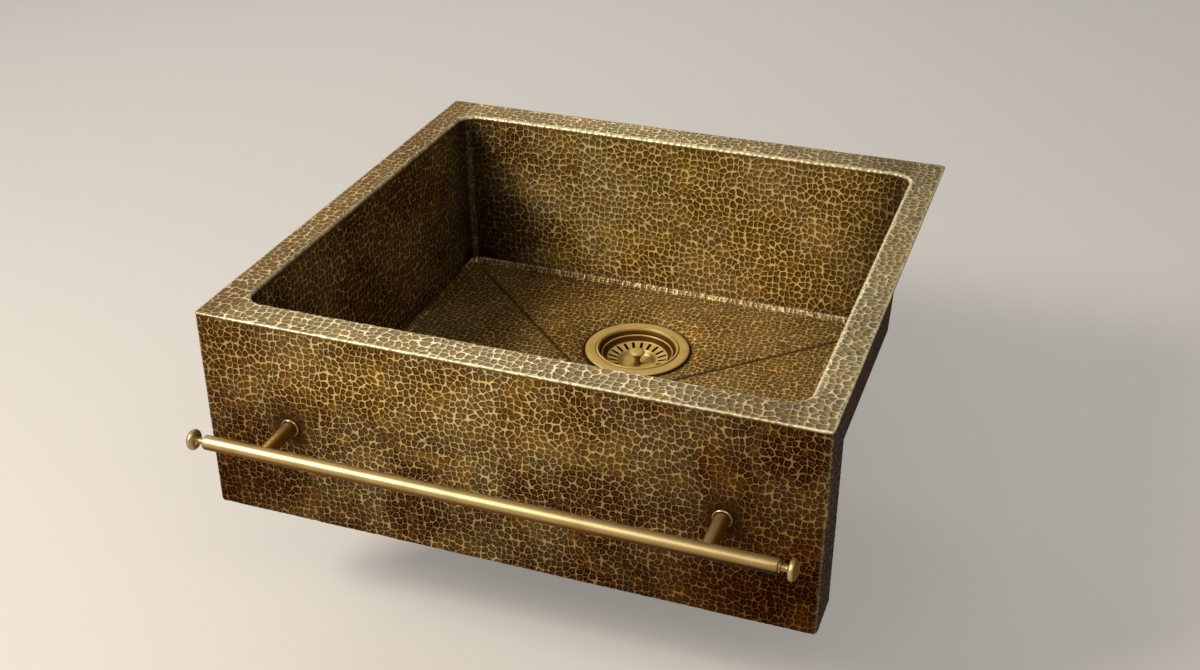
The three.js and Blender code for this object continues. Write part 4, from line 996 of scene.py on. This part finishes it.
def basket_piece(material):
    """The basket: rolled rim, sloping side, a ring of radial slots and a smooth well."""
    outline = refined(mm_profile([
        (3.0, -20.2), (14, -20.0), (18.2, -19.2), (20.6, -17.4), (21.8, -15.0), (22.6, -13.4), (23.4, -12.8),
        (33.4, -9.9), (34.2, -9.4), (35.2, -8.2), (38.9, -4.6), (39.4, -3.7), (40.1, -3.4), (40.6, -3.9),
        (40.5, -4.7), (39.9, -5.0),
    ]))
    points = np.array([
        (radius * math.cos(t), radius * math.sin(t), level) for radius, level in outline
        for t in slot_turns(radius)
    ])
    slotted = np.array([min(radius - SLOT_INNER, SLOT_OUTER - radius) > -1e-9 for radius, _ in outline])
    per_slot = SLOT_GAP_STEPS + 3
    columns = SLOT_COUNT * per_slot
    place = np.arange(columns) % per_slot
    is_open = np.outer(slotted[:-1] & slotted[1:], place == 0).ravel()
    faces = [face for face, gap in zip(band_faces(len(outline), columns, False, True), is_open) if not gap]

    radius = np.hypot(points[:, 0], points[:, 1])
    around = np.arctan2(points[:, 1], points[:, 0]) * 30 * MM
    # Painted shade on the sloping side below the rim, and along the edges of each slot
    side = eased_share(radius, 33.8 * MM, 35.2 * MM) * eased_share(radius, 39.3 * MM, 38.7 * MM)
    values = {
        "pattern": np.column_stack([around, radius, 0 * radius]) / MM,
        "grime": np.maximum(0.88 * side, np.outer(slotted, place < 2).ravel()),
    }
    points = points + np.array(WASTE_PLACE)
    piece = add_piece("slotted_basket", points, faces, material, "basket", values)
    thickness = piece.modifiers.new("sheet", "SOLIDIFY")
    thickness.thickness = BASKET_SHEET
    thickness.offset = -1
    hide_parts("basket_cup")


def refined(outline):
    """The basket's outline with points added: close together near the slots' round ends."""
    rows = [outline[0]]
    for (r0, z0), (r1, z1) in zip(outline, outline[1:]):
        near_end = min(abs(r0 - SLOT_INNER), abs(r0 - SLOT_OUTER)) < SLOT_WIDTH
        step = BASKET_STEP * (0.35 if near_end or SLOT_INNER <= r0 < SLOT_OUTER else 2)
        count = steps_for(math.hypot(r1 - r0, z1 - z0), step)
        rows += [(r0 + (r1 - r0) * k / count, z0 + (z1 - z0) * k / count) for k in range(1, count + 1)]
    return rows


def basket_turnings(brass, crown_brass):
    """The stem with its turned rings, and the knob on top of it."""
    stem = mm_profile([
        (0, -54.4), (2.4, -54.4), (2.6, -54.0), (2.6, -53.6), (2.2, -53.5), (2.2, -51.2), (2.6, -51.1),
        (2.6, -21.5), (4.6, -20.8), (4.7, -20.0), (4.4, -19.2), (3.5, -18.9), (3.2, -16), (3.2, -11.2),
        (4.0, -11.0), (4.4, -10.3), (4.0, -9.6), (3.3, -9.4), (3.3, -8.6), (4.2, -8.5), (4.5, -7.8),
        (4.2, -7.1), (3.0, -6.9), (0, -6.9),
    ])

    def in_shade(points):
        return np.full(len(points), 0.7)

    piece = turned_piece(
        "basket_stem_turning", stem, WASTE_PLACE, brass, "basket", steps=SMALL_TURN_STEPS, grime=in_shade,
    )
    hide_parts("basket_stem")
    crown = [(8.7 * math.cos(t), -3.6 + 3.2 * math.sin(t)) for t in np.linspace(0.1, math.pi / 2, 12)]
    knob = mm_profile([(0, -6.85), (5.2, -6.8), (6.6, -6.1), (8.3, -5.0), (8.7, -4.1)] + crown)
    piece = turned_piece(
        "basket_knob_turning", knob, WASTE_PLACE, crown_brass, "basket", steps=SMALL_TURN_STEPS,
    )
    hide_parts("basket_knob")


def bar_piece(brass):
    """The bar, a tube with eased ends, with painted shade underneath and towards its right end."""
    start = [(BAR_BORE_RADIUS, -BAR_HALF), (BAR_RADIUS - 0.9 * MM, -BAR_HALF)]
    start += [(BAR_RADIUS - 0.25 * MM, -BAR_HALF + 0.6 * MM), (BAR_RADIUS, -BAR_HALF + 1.3 * MM)]
    middle = [(BAR_RADIUS, -BAR_HALF + 2 * BAR_HALF * k / 60) for k in range(1, 60)]
    end = [(radius, -along) for radius, along in reversed(start)]

    def dull_below(points):
        # Painted shade towards the right end and over the underside
        worn_end = 0.2 * eased_share(points[:, 0], 0, BAR_HALF)
        return worn_end + 0.75 * eased_share(points[:, 2] / BAR_RADIUS, 0.45, -0.3)

    piece = turned_piece(
        "towel_bar", start + middle + end, BAR_AXIS, brass, "sink", "x", grime=dull_below, drawn=True,
    )
    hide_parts("rail_bar")


def post_pieces(side, middle, brass):
    """One of the bar's posts, with its collar ring against the apron."""
    place = (middle, APRON_LOW.y, BAR_AXIS.z)
    stand_off = APRON_LOW.y - BAR_AXIS.y

    def sooty(points):
        # Painted shade down the post's right side, and a little near the apron
        away = smooth_step((points[:, 0] / POST_RADIUS + 0.1) / 0.8)
        return np.maximum(0.22 * smooth_step((points[:, 1] + 16 * MM) / (14 * MM)), 0.7 * away)

    def dark_face(points):
        # Painted shade over the collar's face, with a painted highlight left along its rim
        rim = line_at(np.hypot(points[:, 0], points[:, 2]) - 9.0 * MM, 0.5 * MM)
        return 0.85 * (1 - 0.8 * rim)

    post = [
        (BORE_RADIUS, -stand_off), (POST_RADIUS, -stand_off), (POST_RADIUS, -stand_off * 0.6),
        (POST_RADIUS, -4 * MM), (POST_RADIUS - 0.2 * MM, -2.6 * MM), (BORE_RADIUS, -2.6 * MM),
    ]
    piece = turned_piece(
        "towel_bar_post_" + side, post, place, brass, "sink", "y", SMALL_TURN_STEPS, sooty, True,
    )
    fit_to_bar(piece)
    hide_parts("rail_post_" + side)
    collar = eased(mm_profile([(3.2, -0.2), (9.2, -0.2), (9.2, -1.5), (8.5, -2.3), (3.2, -2.3)]), 0.5 * MM)
    piece = turned_piece(
        "post_collar_ring_" + side, collar, place, brass, "sink", "y", RING_STEPS, dark_face,
    )
    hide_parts("post_collar_" + side)


def finial_piece(side, brass):
    """The turned finial at one end of the bar."""
    way, end = {"left": (-1, BAR_LOW.x), "right": (1, BAR_HIGH.x)}[side]
    outline = [
        (0, -10), (4.7, -10), (4.7, 0.3), (5.0, 0.35), (5.2, 0.9), (5.0, 1.5), (3.6, 1.9), (3.0, 2.6),
        (2.95, 6.5), (3.3, 7.7), (4.6, 8.5), (7.4, 8.8), (9.2, 9.7), (10.0, 11.4), (9.9, 12.9),
        (9.0, 14.5), (7.4, 15.7), (5.0, 16.5), (2.4, 16.9), (0, 17.0),
    ]
    profile = [(r, way * z) for r, z in eased(mm_profile(outline), 0.9 * MM, closed=False)]

    def recessed(points):
        # Painted shade in the neck and over the outer half of the button
        out = points[:, 0] * way
        neck = smooth_step((out - 1.2 * MM) / MM) * smooth_step((8.0 * MM - out) / MM)
        return 0.3 * neck + 0.6 * smooth_step((out - 12.0 * MM) / (2.5 * MM))

    place = (end, BAR_AXIS.y, BAR_AXIS.z)
    piece = turned_piece("finial_" + side, profile, place, brass, "sink", "x", RING_STEPS, recessed)
    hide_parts("rail_finial_" + side)


def rail_pieces(brass, bright):
    """The bar, its posts and collars, and the finials at its ends."""
    bar_piece(brass)
    for side, middle in POST_MIDDLES.items():
        post_pieces(side, middle, bright)
    for side in POST_MIDDLES:
        finial_piece(side, brass)


def fit_to_bar(piece):
    """Hollows the post's front end so that it sits against the round bar."""
    for vertex in piece.data.vertices:
        if vertex.co.y < BAR_AXIS.y + 1 * MM:
            drop = vertex.co.z - BAR_AXIS.z
            vertex.co.y = BAR_AXIS.y + math.sqrt(max(BAR_RADIUS ** 2 - drop ** 2, 0)) - 0.1 * MM


# ---------------------------------------------------------------------------
# Fittings that keep their own solids
# ---------------------------------------------------------------------------

def finish_fittings():
    """Gives each kept solid its finish, with edges eased a little."""
    finishes = {
        "mill_brass": plain_finish("mill_brass", "#a98a4c", "#8f7038", 1.0, 0.38, 3.0),
        "satin_brass": plain_finish("drawn_brass", "#b3925a", "#967441", 1.0, 0.32, 4.0),
        "steel": plain_finish("zinc_plated_steel", "#a9abae", "#8c8f94", 1.0, 0.36, 2.0),
        "rubber": plain_finish("moulded_rubber", "#1c1c1d", "#262627", 0.0, 0.75, 1.2),
        "fibre": plain_finish("pressed_fibre", "#84664a", "#6c5138", 0.0, 0.85, 0.8),
        "nylon": plain_finish("moulded_nylon", "#e4e0d6", "#d4cfc2", 0.0, 0.5, 2.0),
    }
    slots = {s["node"]: s["material_slot"] for s in frame["record"]["subparts"]}
    for name, node in frame["nodes"].items():
        if node.hide_render:
            continue
        node.data.materials.clear()
        node.data.materials.append(finishes[slots[name]])
        node.data.polygons.foreach_set("use_smooth", [True] * len(node.data.polygons))
        node.data.set_sharp_from_angle(angle=math.radians(30))
        edge = node.modifiers.new("eased_edges", "BEVEL")
        edge.width = EASED_EDGE
        edge.segments = 2
        edge.limit_method = "ANGLE"
        edge.angle_limit = math.radians(50)


# ---------------------------------------------------------------------------
# Stage, light and camera
# ---------------------------------------------------------------------------

def add_stage():
    """A pale floor under the part, which stays pale where the camera sees it in shadow."""
    level = cad_bounds[0].z - STAGE_DROP
    corners = [(x * STAGE_HALF, y * STAGE_HALF, level) for x, y in ((-1, -1), (1, -1), (1, 1), (-1, 1))]
    mesh = bpy.data.meshes.new("studio_floor")
    mesh.from_pydata(corners, [], [(0, 1, 2, 3)])
    floor = bpy.data.objects.new("studio_floor", mesh)
    bpy.context.scene.collection.objects.link(floor)
    material, tree, output = start_material("pale_studio_floor")
    surface = add_node(tree, "ShaderNodeBsdfPrincipled", {"Base Color": linear("#c6c0b8"), "Roughness": 0.9})
    glow = add_node(tree, "ShaderNodeEmission", {"Color": linear("#cfcac3"), "Strength": 1.0})
    ray = add_node(tree, "ShaderNodeLightPath").outputs
    seen = computed(tree, "MAXIMUM", ray["Is Camera Ray"], ray["Is Glossy Ray"])
    seen = computed(tree, "MAXIMUM", seen, ray["Is Transmission Ray"])
    inputs = {0: product(tree, seen, FLOOR_GLOW), 1: surface.outputs[0], 2: glow.outputs[0]}
    shown = add_node(tree, "ShaderNodeMixShader", inputs)
    tree.links.new(shown.outputs[0], output.inputs["Surface"])
    mesh.materials.append(material)


def add_world():
    """Soft even light from all round, paler than the lamps."""
    world = bpy.data.worlds.new("studio")
    bpy.context.scene.world = world
    world.use_nodes = True
    tree = world.node_tree
    tree.nodes.clear()
    output = add_node(tree, "ShaderNodeOutputWorld")
    light = add_node(tree, "ShaderNodeBackground", {"Color": linear("#f1f1ee"), "Strength": 0.33})
    tree.links.new(light.outputs[0], output.inputs["Surface"])


def add_lamp(name, place, target, size, power, colour):
    """A rectangular lamp turned to a target. Its power is in watts."""
    lamp = bpy.data.lights.new(name, "AREA")
    lamp.shape = "RECTANGLE"
    lamp.size, lamp.size_y = size
    lamp.energy = power
    lamp.color = linear(colour)[:3]
    holder = bpy.data.objects.new(name, lamp)
    holder.location = place
    holder.rotation_euler = (Vector(target) - Vector(place)).to_track_quat("-Z", "Y").to_euler()
    bpy.context.scene.collection.objects.link(holder)


def add_lights():
    """A soft key lamp at the left, a weak strip in front and a broad one behind."""
    middle = (0, -0.3, -0.1)
    add_lamp("key_softbox", (-1.5, -1.65, 1.45), middle, (0.8, 0.8), 92, "#fff6ea")
    add_lamp("front_softbox", (0.45, -1.4, 1.35), (0.1, -0.6, -0.1), (1.6, 0.25), 8, "#fff6e8")
    add_lamp("rear_softbox", (-1.2, 1.7, 1.35), middle, (2.0, 0.8), 18, "#ffffff")


def add_camera():
    """The photograph's view."""
    data = bpy.data.cameras.new("camera")
    data.lens = CAMERA_LENS
    data.sensor_width = CAMERA_SENSOR
    data.clip_start = 0.05
    camera = bpy.data.objects.new("camera", data)
    camera.location = CAMERA_PLACE
    camera.rotation_euler = (math.radians(90 - CAMERA_PITCH), 0, math.radians(CAMERA_YAW))
    bpy.context.scene.collection.objects.link(camera)
    bpy.context.scene.camera = camera


def build_sink():
    """All pieces, each with its material."""
    sheet = hammered_aged_brass()
    brass = satin_brass("satin_turned_brass", "#b8a474", "#8c7142", 0.42, 0.9)
    # A paler copy of the turned brass for the posts and collars: painted light on them
    bright = satin_brass("bright_turned_brass", "#d8c08a", "#b99b60", 0.26, 0.9)
    bowl_brass = satin_brass("satin_pressed_brass", "#baa263", "#9a8042", 0.42, 0.3)
    apron_nodes = ("apron_face", "apron_side_left", "apron_side_right", "apron_foot")
    pieces = {
        deck_piece(sheet): ("deck_rim",), wall_piece(sheet): ("bowl_walls",),
        floor_piece(sheet): ("bowl_floor",), apron_piece(sheet): apron_nodes,
    }
    for piece, nodes in pieces.items():
        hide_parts(*nodes)
        hammer(piece)
    strainer_piece(bowl_brass)
    basket_piece(bowl_brass)
    basket_turnings(brass, bowl_brass)
    rail_pieces(brass, bright)
    finish_fittings()


add_camera()
add_world()
add_lights()
add_stage()
build_sink()

bpy.context.scene.view_settings.view_transform = "Standard"
